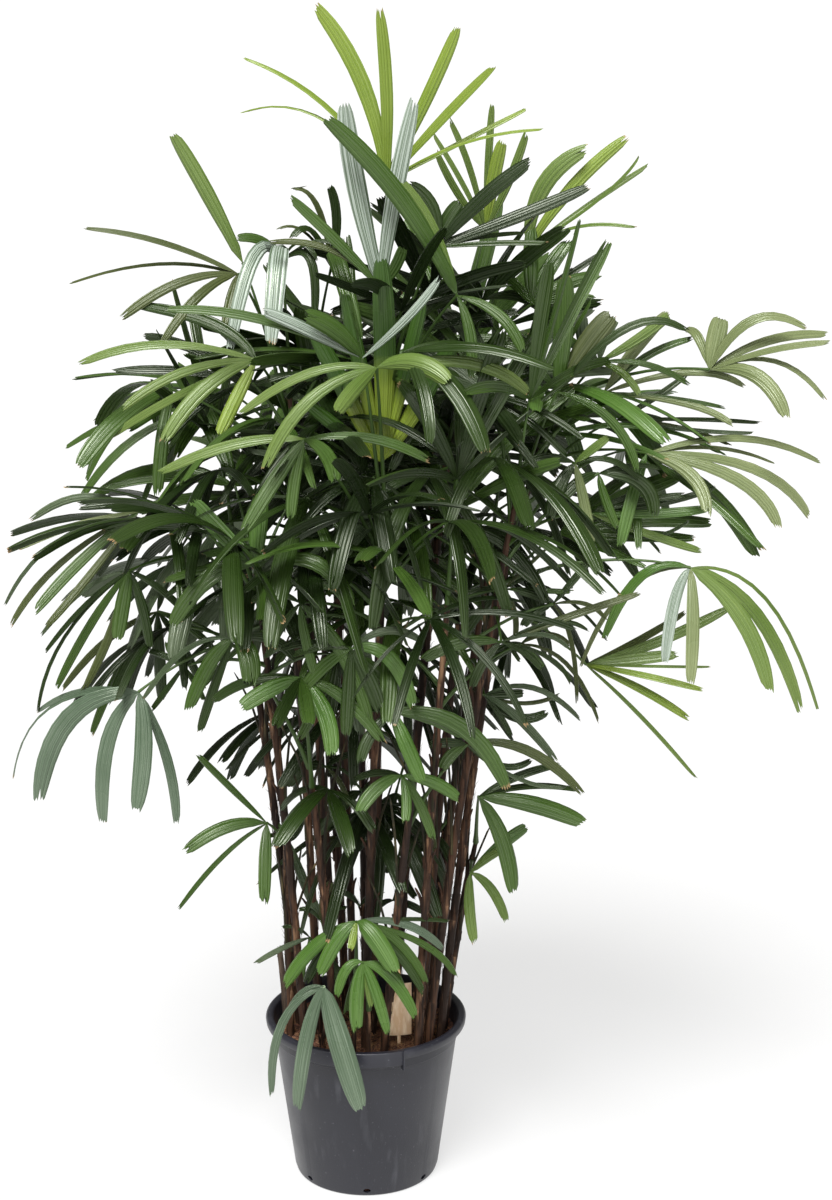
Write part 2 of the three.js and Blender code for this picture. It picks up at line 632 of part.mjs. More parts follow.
for (const cane of canes) {
  const number = String(cane.index + 1).padStart(2, "0");
  if (!cane.isSucker) addMesh(`cane_${number}`, geometryFrom(cane.stem), MATERIALS.cane);
  cane.tiers.forEach((tier, t) => {
    const grown = fronds.filter((frond) => frond.tier === tier);
    const whole = wasm.Manifold.union([tier.stem, ...grown.map((f) => frondSolid(f, f.sectors))]);
    const name = cane.isSucker ? `sucker_${cane.index - CANES.length + 1}` : `fronds_${number}_${t + 1}`;
    addMesh(name, geometryFrom(whole), MATERIALS.leaf);
  });
}

export default palm;
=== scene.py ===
# A lady palm in a black nursery pot: a clump of reed-like canes, each with a head of fan-shaped
# fronds, short suckers at its foot, and a bare plant label. Everything stands in the frame of the
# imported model: metres, +Z up, the middle of the pot's underside at the origin, the front towards -Y.

import math
from functools import partial

import bpy
import numpy as np
from mathutils import Matrix, Vector, noise


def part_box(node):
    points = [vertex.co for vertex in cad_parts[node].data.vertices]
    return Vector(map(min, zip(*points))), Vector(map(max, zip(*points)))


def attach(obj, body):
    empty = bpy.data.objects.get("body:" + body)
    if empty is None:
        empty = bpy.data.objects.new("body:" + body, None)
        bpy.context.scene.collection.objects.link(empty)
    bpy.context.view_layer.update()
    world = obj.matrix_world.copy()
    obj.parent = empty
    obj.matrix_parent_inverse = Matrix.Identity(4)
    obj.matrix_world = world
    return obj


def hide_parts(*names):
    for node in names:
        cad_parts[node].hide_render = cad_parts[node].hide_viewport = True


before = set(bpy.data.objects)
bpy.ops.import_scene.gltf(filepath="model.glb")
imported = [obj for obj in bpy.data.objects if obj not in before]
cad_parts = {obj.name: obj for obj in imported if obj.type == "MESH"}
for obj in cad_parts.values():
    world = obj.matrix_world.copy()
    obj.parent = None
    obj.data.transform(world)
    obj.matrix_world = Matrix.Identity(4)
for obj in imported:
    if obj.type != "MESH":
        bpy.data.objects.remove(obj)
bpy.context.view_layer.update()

# ---------------------------------------------------------------- camera, floor and light
# The camera stands 4 m in front of the pot, a little higher than the crown, and looks down on it.
# The floor is plain and pale. A broad soft light comes from above, left of the front, a weaker one
# from lower down, right of the front, and a dim warm sky fills in.

CAMERA_PLACE = (0, -4.0, 2.131)
CAMERA_PITCH = math.radians(90 - 15.24)
CAMERA_YAW = math.radians(-1.26)
CAMERA_LENS = 74.13
CAMERA_SENSOR = 36
CAMERA_SIGHT = 200

bpy.ops.object.select_all(action="DESELECT")
bpy.ops.object.camera_add(location=CAMERA_PLACE, rotation=(CAMERA_PITCH, 0, CAMERA_YAW))
camera = bpy.context.object
camera.data.lens = CAMERA_LENS
camera.data.sensor_width = CAMERA_SENSOR
camera.data.clip_end = CAMERA_SIGHT
bpy.context.scene.camera = camera


def add_node(tree, kind, inputs=None, **settings):
    """A node of a kind, with its settings made and its inputs set to values or linked to sockets."""
    node = tree.nodes.new(kind)
    for name, value in settings.items():
        setattr(node, name, value)
    for name, value in (inputs or {}).items():
        if isinstance(value, bpy.types.NodeSocket):
            tree.links.new(value, node.inputs[name])
        else:
            node.inputs[name].default_value = value
    return node


def new_finish(name, colour, roughness, **sockets):
    """A material with a Principled BSDF, and the node tree and shader to work on."""
    material = bpy.data.materials.new(name)
    material.use_nodes = True
    tree = material.node_tree
    shader = tree.nodes["Principled BSDF"]
    shader.inputs["Base Color"].default_value = (*colour, 1)
    shader.inputs["Roughness"].default_value = roughness
    for socket, value in sockets.items():
        shader.inputs[socket.replace("_", " ")].default_value = value
    return material, tree, shader


FLOOR_SIZE = 400
FLOOR_GREY = (0.17, 0.17, 0.17)
FLOOR_GLOW = 0.70

bpy.ops.mesh.primitive_plane_add(size=FLOOR_SIZE)
floor = bpy.context.object
floor.name = "floor"
glow = {"Emission_Color": (1, 1, 1, 1), "Emission_Strength": FLOOR_GLOW}
floor.data.materials.append(new_finish("light_table", FLOOR_GREY, 0.9, **glow)[0])

# Each light's name, its turn in degrees, its strength, and how wide it spreads.
LIGHTS = (
    ("key_light", (32, 0, -20), 6.0, 26),
    ("front_light", (66, 0, 12), 1.5, 50),
)
SKY = (1, 0.97, 0.86, 1)
SKY_STRENGTH = 0.2

for name, turn, strength, spread in LIGHTS:
    bpy.ops.object.light_add(type="SUN", rotation=[math.radians(a) for a in turn])
    bpy.context.object.name = name
    bpy.context.object.data.energy = strength
    bpy.context.object.data.angle = math.radians(spread)

world = bpy.data.worlds.new("studio")
world.use_nodes = True
sky = world.node_tree.nodes["Background"].inputs
sky["Color"].default_value = SKY
sky["Strength"].default_value = SKY_STRENGTH
bpy.context.scene.world = world
bpy.context.scene.view_settings.view_transform = "Standard"

# ---------------------------------------------------------------- pot
# A round nursery pot of thin charcoal polypropylene, injection moulded with a rolled rim. A grip is
# moulded over the rim's front, and seven drain slots go through the wall just above its foot.

POT_SIDES = 128
WALL = 0.004
FOOT_RADIUS = 0.125
FOOT_ROUND = 0.006
FOOT_FLARE = 0.0022
MOUTH_RADIUS = 0.162
MOUTH_STEP = 0.022
RIM_DEPTH = 0.017
RIM_BEAD = 0.0072
POT_HEIGHT = 0.294
RIM_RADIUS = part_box("pot")[1].x

DRAIN_COUNT = 7
DRAIN_SIZE = (0.0045, 0.0065)
DRAIN_DEPTH = 0.04
DRAIN_LIFT = 0.013
DRAIN_TILT = math.radians(90 + 10)

GRIP_FROM, GRIP_TO = math.radians(-125), math.radians(-69)
GRIP_PROUD = 0.003
GRIP_DEPTH = 0.026
GRIP_END_DEPTH = 0.036
BAND_ROOT = 0.006
BAND_ROUND = 0.0012
BAND_STEPS = 28

CHARCOAL = (0.0105, 0.0108, 0.0165)
SCUFFED = (0.080, 0.082, 0.096)


def ranged(tree, mask, low, high, start=0, end=1):
    """The value socket that goes from low to high as a mask goes from start to end."""
    limits = {"Value": mask, "From Min": start, "From Max": end, "To Min": low, "To Max": high}
    return add_node(tree, "ShaderNodeMapRange", limits).outputs["Result"]


def worked_out(tree, operation, first, second, kind="Math"):
    """The socket of what an operation makes of two values, or of two vectors."""
    return add_node(tree, f"ShaderNode{kind}", {0: first, 1: second}, operation=operation).outputs[0]


def new_group(name, numbers, vectors, masks):
    """An empty node group with its named inputs and the masks that it puts out, and its inputs."""
    group = bpy.data.node_groups.new(name, "ShaderNodeTree")
    for socket, value in numbers.items():
        number = group.interface.new_socket(socket, in_out="INPUT", socket_type="NodeSocketFloat")
        number.default_value = value
    for socket in vectors:
        group.interface.new_socket(socket, in_out="INPUT", socket_type="NodeSocketVector")
    for socket in masks:
        group.interface.new_socket(socket, in_out="OUTPUT", socket_type="NodeSocketFloat")
    return group, add_node(group, "NodeGroupInput").outputs


def cloudy_group():
    """Cloudy variation over a surface: a mask from 0 to 1, stretched along the axes as asked."""
    numbers = {"Scale": 20.0, "Detail": 4.0, "Low": 0.35, "High": 0.65}
    group, given = new_group("cloudy_variation", numbers, ["Stretch"], ["Mask"])
    place = add_node(group, "ShaderNodeTexCoord").outputs["Object"]
    stretched = worked_out(group, "MULTIPLY", place, given["Stretch"], "VectorMath")
    texture = {"Vector": stretched, "Scale": given["Scale"], "Detail": given["Detail"]}
    cloud = add_node(group, "ShaderNodeTexNoise", texture).outputs["Fac"]
    mask = ranged(group, cloud, 0, 1, given["Low"], given["High"])
    add_node(group, "NodeGroupOutput", {"Mask": mask})
    return group


CLOUDY = cloudy_group()


def cloudy(tree, scale, detail=4.0, low=0.35, high=0.65, stretch=(1, 1, 1)):
    """The mask socket of one cloudy variation in a material."""
    inputs = {"Scale": scale, "Detail": detail, "Low": low, "High": high, "Stretch": stretch}
    return add_node(tree, "ShaderNodeGroup", inputs, node_tree=CLOUDY).outputs["Mask"]


def mixed(tree, mask, first, second):
    """The colour socket that goes from one colour to another as a mask goes from 0 to 1."""
    inputs = {0: mask}
    for place, colour in ((6, first), (7, second)):
        inputs[place] = colour if isinstance(colour, bpy.types.NodeSocket) else (*colour, 1)
    return add_node(tree, "ShaderNodeMix", inputs, data_type="RGBA").outputs[2]


def relief(tree, shader, height, depth, strength=0.6):
    """Gives a shader the relief of a height that goes from 0 to 1, depth metres deep."""
    bump = add_node(tree, "ShaderNodeBump", {"Height": height, "Distance": depth, "Strength": strength})
    tree.links.new(bump.outputs["Normal"], shader.inputs["Normal"])


def moulded_plastic():
    """Charcoal plastic, satin, with faint upright scuffs and specks of dust."""
    coat = {"Coat_Weight": 0.08, "Coat_Roughness": 0.3}
    material, tree, shader = new_finish("moulded_charcoal", CHARCOAL, 0.4, **coat)
    scuffs = cloudy(tree, 46, detail=7, low=0.56, high=0.82, stretch=(1, 1, 0.16))
    clouds = cloudy(tree, 9, detail=3, low=0.4, high=0.7)
    specks = cloudy(tree, 260, detail=2, low=0.68, high=0.8)
    worn = mixed(tree, scuffs, CHARCOAL, SCUFFED)
    rubbed = mixed(tree, clouds, CHARCOAL, worn)
    tree.links.new(mixed(tree, specks, rubbed, SCUFFED), shader.inputs["Base Color"])
    tree.links.new(ranged(tree, clouds, 0.36, 0.52), shader.inputs["Roughness"])
    relief(tree, shader, cloudy(tree, 420, detail=3), depth=0.0003, strength=0.25)
    return material


def lathe(sides, rings):
    """A closed round form: a disc at the first ring, carried through the others and closed again."""
    radius, height = rings[0]
    bpy.ops.object.select_all(action="DESELECT")
    bpy.ops.mesh.primitive_circle_add(
        vertices=sides, radius=radius, fill_type="NGON", location=(0, 0, height)
    )
    bpy.ops.object.transform_apply(location=True)
    bpy.ops.object.mode_set(mode="EDIT")
    bpy.ops.mesh.select_mode(type="EDGE")
    bpy.ops.mesh.select_all(action="SELECT")
    bpy.ops.mesh.region_to_loop()
    for next_radius, next_height in rings[1:]:
        rise = (0, 0, next_height - height)
        grow = next_radius / radius
        bpy.ops.mesh.extrude_region_move(TRANSFORM_OT_translate={"value": rise})
        bpy.ops.transform.resize(value=(grow, grow, 1), center_override=(0, 0, next_height))
        radius, height = next_radius, next_height
    bpy.ops.mesh.edge_face_add()
    bpy.ops.mesh.select_all(action="SELECT")
    bpy.ops.mesh.normals_make_consistent(inside=False)
    bpy.ops.object.mode_set(mode="OBJECT")
    return bpy.context.object


def apply_modifier(piece, kind, **settings):
    """Adds a modifier to a piece and applies it."""
    modifier = piece.modifiers.new(kind.lower(), kind)
    for name, value in settings.items():
        setattr(modifier, name, value)
    bpy.context.view_layer.objects.active = piece
    bpy.ops.object.modifier_apply(modifier=modifier.name)


def shade_smooth(mesh, sharp=180):
    """Shades a mesh smooth, but for edges that are sharper than an angle in degrees."""
    mesh.polygons.foreach_set("use_smooth", [True] * len(mesh.polygons))
    mesh.set_sharp_from_angle(angle=math.radians(sharp))


def finished(piece, name, material, slot, *nodes):
    """Names a finished piece, gives it its material, and lets it ride with the pot. Its slot is not
    used.
    """
    piece.name = name
    piece.data.materials.clear()
    piece.data.materials.append(material)
    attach(piece, "root")
    if nodes:
        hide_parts(*nodes)


# The pot's rings, from its flat foot up the outside, over the rim and down the inside.
foot_flat = FOOT_RADIUS - FOOT_ROUND
rim_low = POT_HEIGHT - RIM_DEPTH
pot_rings = [(foot_flat, 0)]
for i in range(1, 6):
    angle = math.radians(18 * i)
    pot_rings.append((foot_flat + FOOT_ROUND * math.sin(angle), FOOT_ROUND * (1 - math.cos(angle))))
pot_rings += [
    (FOOT_RADIUS + FOOT_FLARE, FOOT_ROUND + 0.006),
    (MOUTH_RADIUS - 0.0025, rim_low - MOUTH_STEP),
    (MOUTH_RADIUS - 0.0005, rim_low - MOUTH_STEP + 0.002),
    (MOUTH_RADIUS, rim_low),
    (RIM_RADIUS - 0.0045, rim_low),
    (RIM_RADIUS - 0.0022, rim_low + 0.0008),
    (RIM_RADIUS - 0.0012, rim_low + 0.003),
]
for i in range(13):
    angle = math.radians(15 * i)
    out, up = RIM_BEAD * math.cos(angle), RIM_BEAD * math.sin(angle)
    pot_rings.append((RIM_RADIUS - 0.0004 - RIM_BEAD + out, POT_HEIGHT - RIM_BEAD + up))
pot_rings += [
    (MOUTH_RADIUS - WALL, rim_low),
    (FOOT_RADIUS - WALL, FOOT_ROUND),
    (foot_flat, WALL + 0.001),
]
pot = lathe(POT_SIDES, pot_rings)

for i in range(DRAIN_COUNT):
    azimuth = math.radians(-90 + 360 * i / DRAIN_COUNT)
    inset = FOOT_RADIUS - WALL
    place = (inset * math.cos(azimuth), inset * math.sin(azimuth), DRAIN_LIFT)
    bpy.ops.object.select_all(action="DESELECT")
    bpy.ops.mesh.primitive_cylinder_add(vertices=20, radius=1, depth=DRAIN_DEPTH)
    slot_cutter = bpy.context.object
    squeeze = Matrix.Diagonal((*DRAIN_SIZE, 1, 1))
    turned = Matrix.Rotation(azimuth, 4, "Z") @ Matrix.Rotation(DRAIN_TILT, 4, "Y")
    slot_cutter.data.transform(Matrix.Translation(place) @ turned @ squeeze)
    apply_modifier(pot, "BOOLEAN", operation="DIFFERENCE", object=slot_cutter, solver="EXACT")
    bpy.data.objects.remove(slot_cutter)
shade_smooth(pot.data, 32)
plastic = moulded_plastic()
finished(pot, "nursery_pot", plastic, "pot", "pot")


def rim_band(name, start, end, proud, depth, above):
    """A band moulded over the outside of the rim, swept between two azimuths."""
    bpy.ops.object.select_all(action="DESELECT")
    bpy.ops.mesh.primitive_plane_add(size=1)
    band = bpy.context.object
    band.rotation_euler = (math.radians(90), 0, 0)
    band.scale = (proud + BAND_ROOT, depth, 1)
    band.location = (RIM_RADIUS + (proud - BAND_ROOT) / 2, 0, POT_HEIGHT + above - depth / 2)
    bpy.ops.object.transform_apply()
    bpy.ops.object.mode_set(mode="EDIT")
    bpy.ops.mesh.select_all(action="SELECT")
    bpy.ops.mesh.bevel(offset=BAND_ROUND, segments=3, affect="VERTICES")
    bpy.ops.mesh.select_all(action="SELECT")
    bpy.ops.mesh.spin(steps=BAND_STEPS, angle=end - start, center=(0, 0, 0), axis=(0, 0, 1))
    bpy.ops.mesh.select_all(action="SELECT")
    bpy.ops.mesh.normals_make_consistent(inside=False)
    bpy.ops.object.mode_set(mode="OBJECT")
    band.data.transform(Matrix.Rotation(end, 4, "Z"))
    shade_smooth(band.data, 50)
    finished(band, name, plastic, "pot")


rim_band("rim_grip", GRIP_FROM, GRIP_TO, GRIP_PROUD, GRIP_DEPTH, 0.0015)
rim_band("rim_grip_end", GRIP_TO - 0.012, GRIP_TO + 0.004, GRIP_PROUD + 0.003, GRIP_END_DEPTH, 0.002)

# ---------------------------------------------------------------- soil
# Reddish-brown coir and peat mix, level with the inside of the rim's foot. Its skin is a rough crust,
# and loose crumbs and pale coir fibres lie on it.

SOIL_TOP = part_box("soil")[1].z
SOIL_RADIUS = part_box("soil")[1].x
SOIL_SIDES = 144
SOIL_RINGS = 40
CRUST_LOW = 0.004
CRUST_LUMPS = 0.0035
CRUST_HEAP = 0.006
CRUMBS = 2600
CRUMB_SIZES = (0.0012, 0.0046)
FIBRES = 900
FIBRE_LENGTHS = (0.010, 0.032)
FIBRE_RADIUS = 0.0005
SOIL_RED = (0.150, 0.055, 0.026)
SOIL_DARK = (0.036, 0.014, 0.009)
COIR = (0.30, 0.165, 0.075)

soil_rings = [
    (foot_flat - 0.002, WALL + 0.003),
    (FOOT_RADIUS - 0.007, 0.02),
    (SOIL_RADIUS, SOIL_TOP - CRUST_LOW),
]
for i in range(1, SOIL_RINGS):
    soil_rings.append((SOIL_RADIUS * (1 - i / SOIL_RINGS), SOIL_TOP - 0.002))
soil = lathe(SOIL_SIDES, soil_rings)


def soil_height(x, y):
    """The height of the crust, which heaps up a little towards the middle of the clump."""
    rough = noise.fractal(Vector((x * 60, y * 60, 3)), 0.7, 2.1, 5)
    heap = CRUST_HEAP * max(0.0, 1 - math.hypot(x, y) / SOIL_RADIUS)
    return SOIL_TOP - CRUST_LOW + CRUST_LUMPS * rough + heap


for vertex in soil.data.vertices:
    if vertex.co.z > SOIL_TOP - 0.003:
        vertex.co.z = soil_height(vertex.co.x, vertex.co.y)
shade_smooth(soil.data)


def crumbly(name, first, second, scale):
    """Dull, crumbly earth of two tones."""
    material, tree, shader = new_finish(name, first, 0.95)
    grains = cloudy(tree, scale, detail=6)
    tree.links.new(mixed(tree, grains, first, second), shader.inputs["Base Color"])
    relief(tree, shader, cloudy(tree, 700, detail=5), depth=0.002, strength=0.8)
    return material


finished(soil, "soil_crust", crumbly("soil_crust", SOIL_RED, SOIL_DARK, 130), "soil", "soil")


class Heap:
    """Many small closed shapes that are joined into one piece, or into more past LIMIT triangles."""

    LIMIT = 170000

    def __init__(self, name, material, slot, nodes=(), sharp=55):
        self.name, self.material, self.slot, self.nodes, self.sharp = name, material, slot, nodes, sharp
        self.pieces = 0
        self.clear()

    def clear(self):
        self.points, self.faces, self.coordinates = [], [], []
        self.count = self.triangles = 0

    def add(self, points, faces, coordinates=None):
        """Adds a shape: its points in metres, its faces, and a surface coordinate for each point."""
        shift = self.count
        self.points.append(points)
        self.coordinates.append(np.zeros((len(points), 2)) if coordinates is None else coordinates)
        self.faces += [tuple(corner + shift for corner in face) for face in faces]
        self.count += len(points)
        self.triangles += sum(len(face) - 2 for face in faces)
        if self.triangles > self.LIMIT:
            self.make()

    def make(self):
        """Turns what has been added into a piece."""
        if not self.points:
            return
        mesh = bpy.data.meshes.new(self.name)
        mesh.from_pydata(np.concatenate(self.points).tolist(), [], self.faces)
        corners = np.empty(len(mesh.loops), int)
        mesh.loops.foreach_get("vertex_index", corners)
        mesh.uv_layers.new(name="surface").uv.foreach_set(
            "vector", np.concatenate(self.coordinates)[corners].astype(np.float32).ravel()
        )
        shade_smooth(mesh, self.sharp)
        self.pieces += 1
        piece = bpy.data.objects.new(self.name, mesh)
        bpy.context.scene.collection.objects.link(piece)
        finished(piece, f"{self.name}_{self.pieces}", self.material, self.slot, *self.nodes)
        self.clear()


def unit(vectors):
    """Vectors made one long."""
    return vectors / np.linalg.norm(vectors, axis=-1, keepdims=True)


def ring_faces(rings, sides):
    """Faces of a closed tube with as many points in each ring, and of its two ends."""
    faces = []
    for i in range(rings - 1):
        for k in range(sides):
            a, b = i * sides + k, i * sides + (k + 1) % sides
            faces.append((a, b, b + sides, a + sides))
    last = (rings - 1) * sides
    faces.append(tuple(range(sides - 1, -1, -1)))
    faces.append(tuple(range(last, last + sides)))
    return faces


def frames_along(path):
    """The direction of a path at each of its points, and two more square to it that don't twist."""
    ahead = np.vstack([path[1:], path[-1:]])
    behind = np.vstack([path[:1], path[:-1]])
    along = unit(ahead - behind)
    side = np.array([1.0, 0.0, 0.0]) if abs(along[0][0]) < 0.9 else np.array([0.0, 1.0, 0.0])
    sides = []
    for direction in along:
        side = unit(side - direction * side.dot(direction))
        sides.append(side)
    sides = np.array(sides)
    return along, sides, np.cross(along, sides)


def tube(path, radii, sides):
    """The points and faces of a closed tube of given radii along a path."""
    path = np.asarray(path, float)
    _, first, second = frames_along(path)
    angles = np.arange(sides) / sides * 2 * math.pi
    turns = np.stack([np.cos(angles), np.sin(angles)])[:, None, :, None]
    around = first[:, None] * turns[0] + second[:, None] * turns[1]
    points = path[:, None] + around * np.asarray(radii, float).reshape(len(path), -1, 1)
    return points.reshape(-1, 3), ring_faces(len(path), sides)


earth = np.random.default_rng(11)
CRUMB_POINTS = np.array([(1, 0, 0), (-1, 0, 0), (0, 1, 0), (0, -1, 0), (0, 0, 1), (0, 0, -1)], float)
CRUMB_FACES = [(0, 2, 4), (2, 1, 4), (1, 3, 4), (3, 0, 4), (2, 0, 5), (1, 2, 5), (3, 1, 5), (0, 3, 5)]


def spot_on_soil(inset):
    """A random place on the crust, a little inside its edge."""
    radius = (SOIL_RADIUS - inset) * math.sqrt(earth.random())
    angle = earth.random() * 2 * math.pi
    x, y = radius * math.cos(angle), radius * math.sin(angle)
    return np.array([x, y, soil_height(x, y)])


crumb_tones = (
    Heap("soil_crumbs_red", crumbly("crumb_red", SOIL_RED, COIR, 90), "soil"),
    Heap("soil_crumbs_dark", crumbly("crumb_dark", SOIL_DARK, SOIL_RED, 90), "soil"),
)
for i in range(CRUMBS):
    size = earth.uniform(*CRUMB_SIZES) * earth.uniform(0.6, 1, 3)
    points = CRUMB_POINTS * size + earth.uniform(-0.3, 0.3, (6, 3)) * size
    angle, axis = earth.uniform(0, math.pi), Vector(earth.normal(size=3)).normalized()
    turn = np.array(Matrix.Rotation(angle, 3, axis))
    crumb_tones[i % 3 == 0].add(points @ turn.T + spot_on_soil(0.006), CRUMB_FACES)
for heap in crumb_tones:
    heap.make()

fibre_heap = Heap("soil_fibres", crumbly("coir_fibre", COIR, SOIL_RED, 60), "soil")
for i in range(FIBRES):
    length = earth.uniform(*FIBRE_LENGTHS)
    turns = earth.uniform(0, 2 * math.pi) + np.cumsum(earth.uniform(-0.7, 0.7, 4))
    steps = np.stack([np.cos(turns), np.sin(turns), earth.uniform(-0.25, 0.25, 4)], 1) * length / 4
    path = spot_on_soil(0.030) + np.vstack([np.zeros(3), np.cumsum(steps, 0)])
    path[:, 2] = [soil_height(x, y) + earth.uniform(0.0006, 0.004) for x, y, _ in path]
    fibre_heap.add(*tube(path, [FIBRE_RADIUS] * 5, 3))
fibre_heap.make()

# ---------------------------------------------------------------- plant label
# A bare card on a thin stake that is pushed into the soil. The card is raw kraft board with a
# pale grain, a little bent, and the stake is a sliver of wood.

LABEL_PLACE = (0.057, -0.070)
LABEL_TURN = math.radians(6)
CARD_SIZE = (0.044, 0.097)
CARD_THICKNESS = 0.0012
CARD_LIFT = 0.017
CARD_BEND = 0.0025
STAKE_WIDTH = 0.006
STAKE_THICKNESS = 0.0018
STAKE_DEPTH = 0.004
KRAFT = (0.64, 0.43, 0.26)
KRAFT_PALE = (0.82, 0.66, 0.47)


def box_piece(size, centre, cuts, bevel):
    """A block of a size, divided and bevelled, with its place in its mesh."""
    bpy.ops.object.select_all(action="DESELECT")
    bpy.ops.mesh.primitive_cube_add(size=1)
    block = bpy.context.object
    block.data.transform(Matrix.Translation(centre) @ Matrix.Diagonal((*size, 1)))
    bpy.ops.object.mode_set(mode="EDIT")
    bpy.ops.mesh.select_all(action="SELECT")
    bpy.ops.mesh.bevel(offset=bevel, segments=2)
    bpy.ops.mesh.select_all(action="SELECT")
    bpy.ops.mesh.subdivide(number_cuts=cuts)
    bpy.ops.object.mode_set(mode="OBJECT")
    return block


card_middle = SOIL_TOP + CARD_LIFT + CARD_SIZE[1] / 2
card = box_piece((CARD_SIZE[0], CARD_THICKNESS, CARD_SIZE[1]), (0, 0, card_middle), 6, 0.0004)
for vertex in card.data.vertices:
    across = vertex.co.x / CARD_SIZE[0] * 2
    up = (vertex.co.z - card_middle) / CARD_SIZE[1]
    vertex.co.y += CARD_BEND * (across * across - 0.3) + CARD_BEND * up * up
stake_height = CARD_LIFT + CARD_SIZE[1] * 0.4
stake_middle = SOIL_TOP + stake_height / 2 - STAKE_DEPTH
stake = box_piece(
    (STAKE_WIDTH, STAKE_THICKNESS, stake_height), (0, CARD_THICKNESS, stake_middle), 1, 0.0005
)
label_place = Matrix.Translation((*LABEL_PLACE, 0)) @ Matrix.Rotation(LABEL_TURN, 4, "Z")
for piece in (card, stake):
    piece.data.transform(label_place)
    shade_smooth(piece.data, 40)


def kraft_card():
    """Raw kraft board: pale fibres in a brown ground."""
    material, tree, shader = new_finish("kraft_card", KRAFT, 0.85)
    fibres = cloudy(tree, 160, detail=6, low=0.42, high=0.66, stretch=(1, 1, 0.25))
    tree.links.new(mixed(tree, fibres, KRAFT, KRAFT_PALE), shader.inputs["Base Color"])
    relief(tree, shader, cloudy(tree, 900, detail=3), depth=0.0003, strength=0.3)
    return material


kraft = kraft_card()
finished(card, "label_card", kraft, "label", "plant_label")
finished(stake, "label_stake", kraft, "label")

# ---------------------------------------------------------------- the clump's growth
# The rule that every cane and frond grows by. Its lengths are in millimetres: each cane's foot on
# the soil, the tip of its stem, how many fronds it bears, and the azimuth of its youngest one.

MM = 0.001
CANES = [
    ((12, -25), (40, -20, 1460), 8, 90),
    ((50, 30), (165, 110, 1450), 8, 20),
    ((-50, 0), (-120, 20, 1390), 7, 170),
    ((128, -50), (260, -40, 1260), 7, 0),
    ((-105, -62), (-180, -90, 1150), 7, 200),
    ((-2, -80), (35, -175, 1220), 7, 270),
    ((108, 40), (215, 50, 1100), 6, 15),
    ((-118, 25), (-220, 80, 1130), 7, 160),
    ((-35, 75), (-95, 215, 1310), 7, 120),
    ((45, 85), (150, 245, 1210), 7, 60),
    ((0, 118), (-10, 270, 1130), 6, 100),
    ((88, -110), (135, -170, 1080), 6, 300),
    ((-132, -20), (-135, -45, 625), 1, 60),
    ((136, 0), (192, 20, 600), 2, 90),
    ((82, 62), (320, 110, 1350), 7, 40),
    ((106, -79), (245, -135, 1240), 6, 330),
    ((-52, -68), (-90, -160, 800), 3, 250),
    ((30, -108), (80, -180, 770), 3, 290),
    ((-82, -22), (-112, -35, 980), 0, 0),
    ((-20, 30), (-45, 60, 1040), 0, 0),
    ((96, -20), (160, -5, 1000), 0, 0),
]
SUCKERS = [
    ((-22, -118), (-16, -124, 420), 1, 270),
    ((-76, -102), (-68, -120, 335), 1, 270),
    ((4, -128), (5, -130, 355), 1, 270),
]
SUCKER_GIRTH = 0.6
CANE_BEND = 0.35
FOOT_DEPTH = 5
INTERNODE = 36
CANE_RADII = (7.4, 6.4, 4.1)

# What a frond grows by, where there are two values from the youngest one on a cane to the oldest.
TURN = 137.5
RISE = (80, 22)
REACH = (190, 215)
NOD = (8, 32)
ROLL = 50
BLADE = (310, 310)
SPREAD = (110, 190)
SEGMENTS = (5, 6)
DROOP = (0.25, 1.2)

# Fronds that give the crown its outline, by cane and rank: place of the hub, aim of the middle
# segment (azimuth, elevation, roll), its length, spread, segments, droop, and the fan's tone.
OUTLINE_FRONDS = {
    (0, 4): ((60, -240, 1500), (330, 12, 20), 260, 90, 4, 1.2, "dark"),
    (0, 3.5): ((-48, -72, 1436), (571, 26, 8), 150, 142, 5, 0.78, "shade"),
    (1, 2): ((280, 60, 1530), (40, 60, 40), 140, 110, 5, 0.4, "mid"),
    (1, 3): ((200, 100, 1530), (300, 60, 0), 230, 120, 5, 0.8, "dark"),
    (2, 4): ((-310, 0, 1400), (186, 12, -20), 250, 150, 6, 1.5, "mid"),
    (6, 3): ((330, 60, 1140), (2, 20, 25), 270, 80, 5, 0.3, "mid"),
    (8, 1): ((-107, 142, 1447), (258, 34, 2), 260, 116, 5, 0.6, "dark"),
    (16, 2): ((-60, -150, 760), (240, 0, 0), 160, 170, 5, 1, "dark"),
    (1, 5): ((301, 60, 1389), (348, 11, -15), 332, 159, 5, 1.0, "fresh"),
    (3, 3): ((323, 64, 1310), (52, 30, -5), 327, 156, 6, 0.65, "fresh"),
    (15, 0): ((265, -147, 1410), (330, 74, -2), 310, 115, 5, 0.4, "mid"),
}
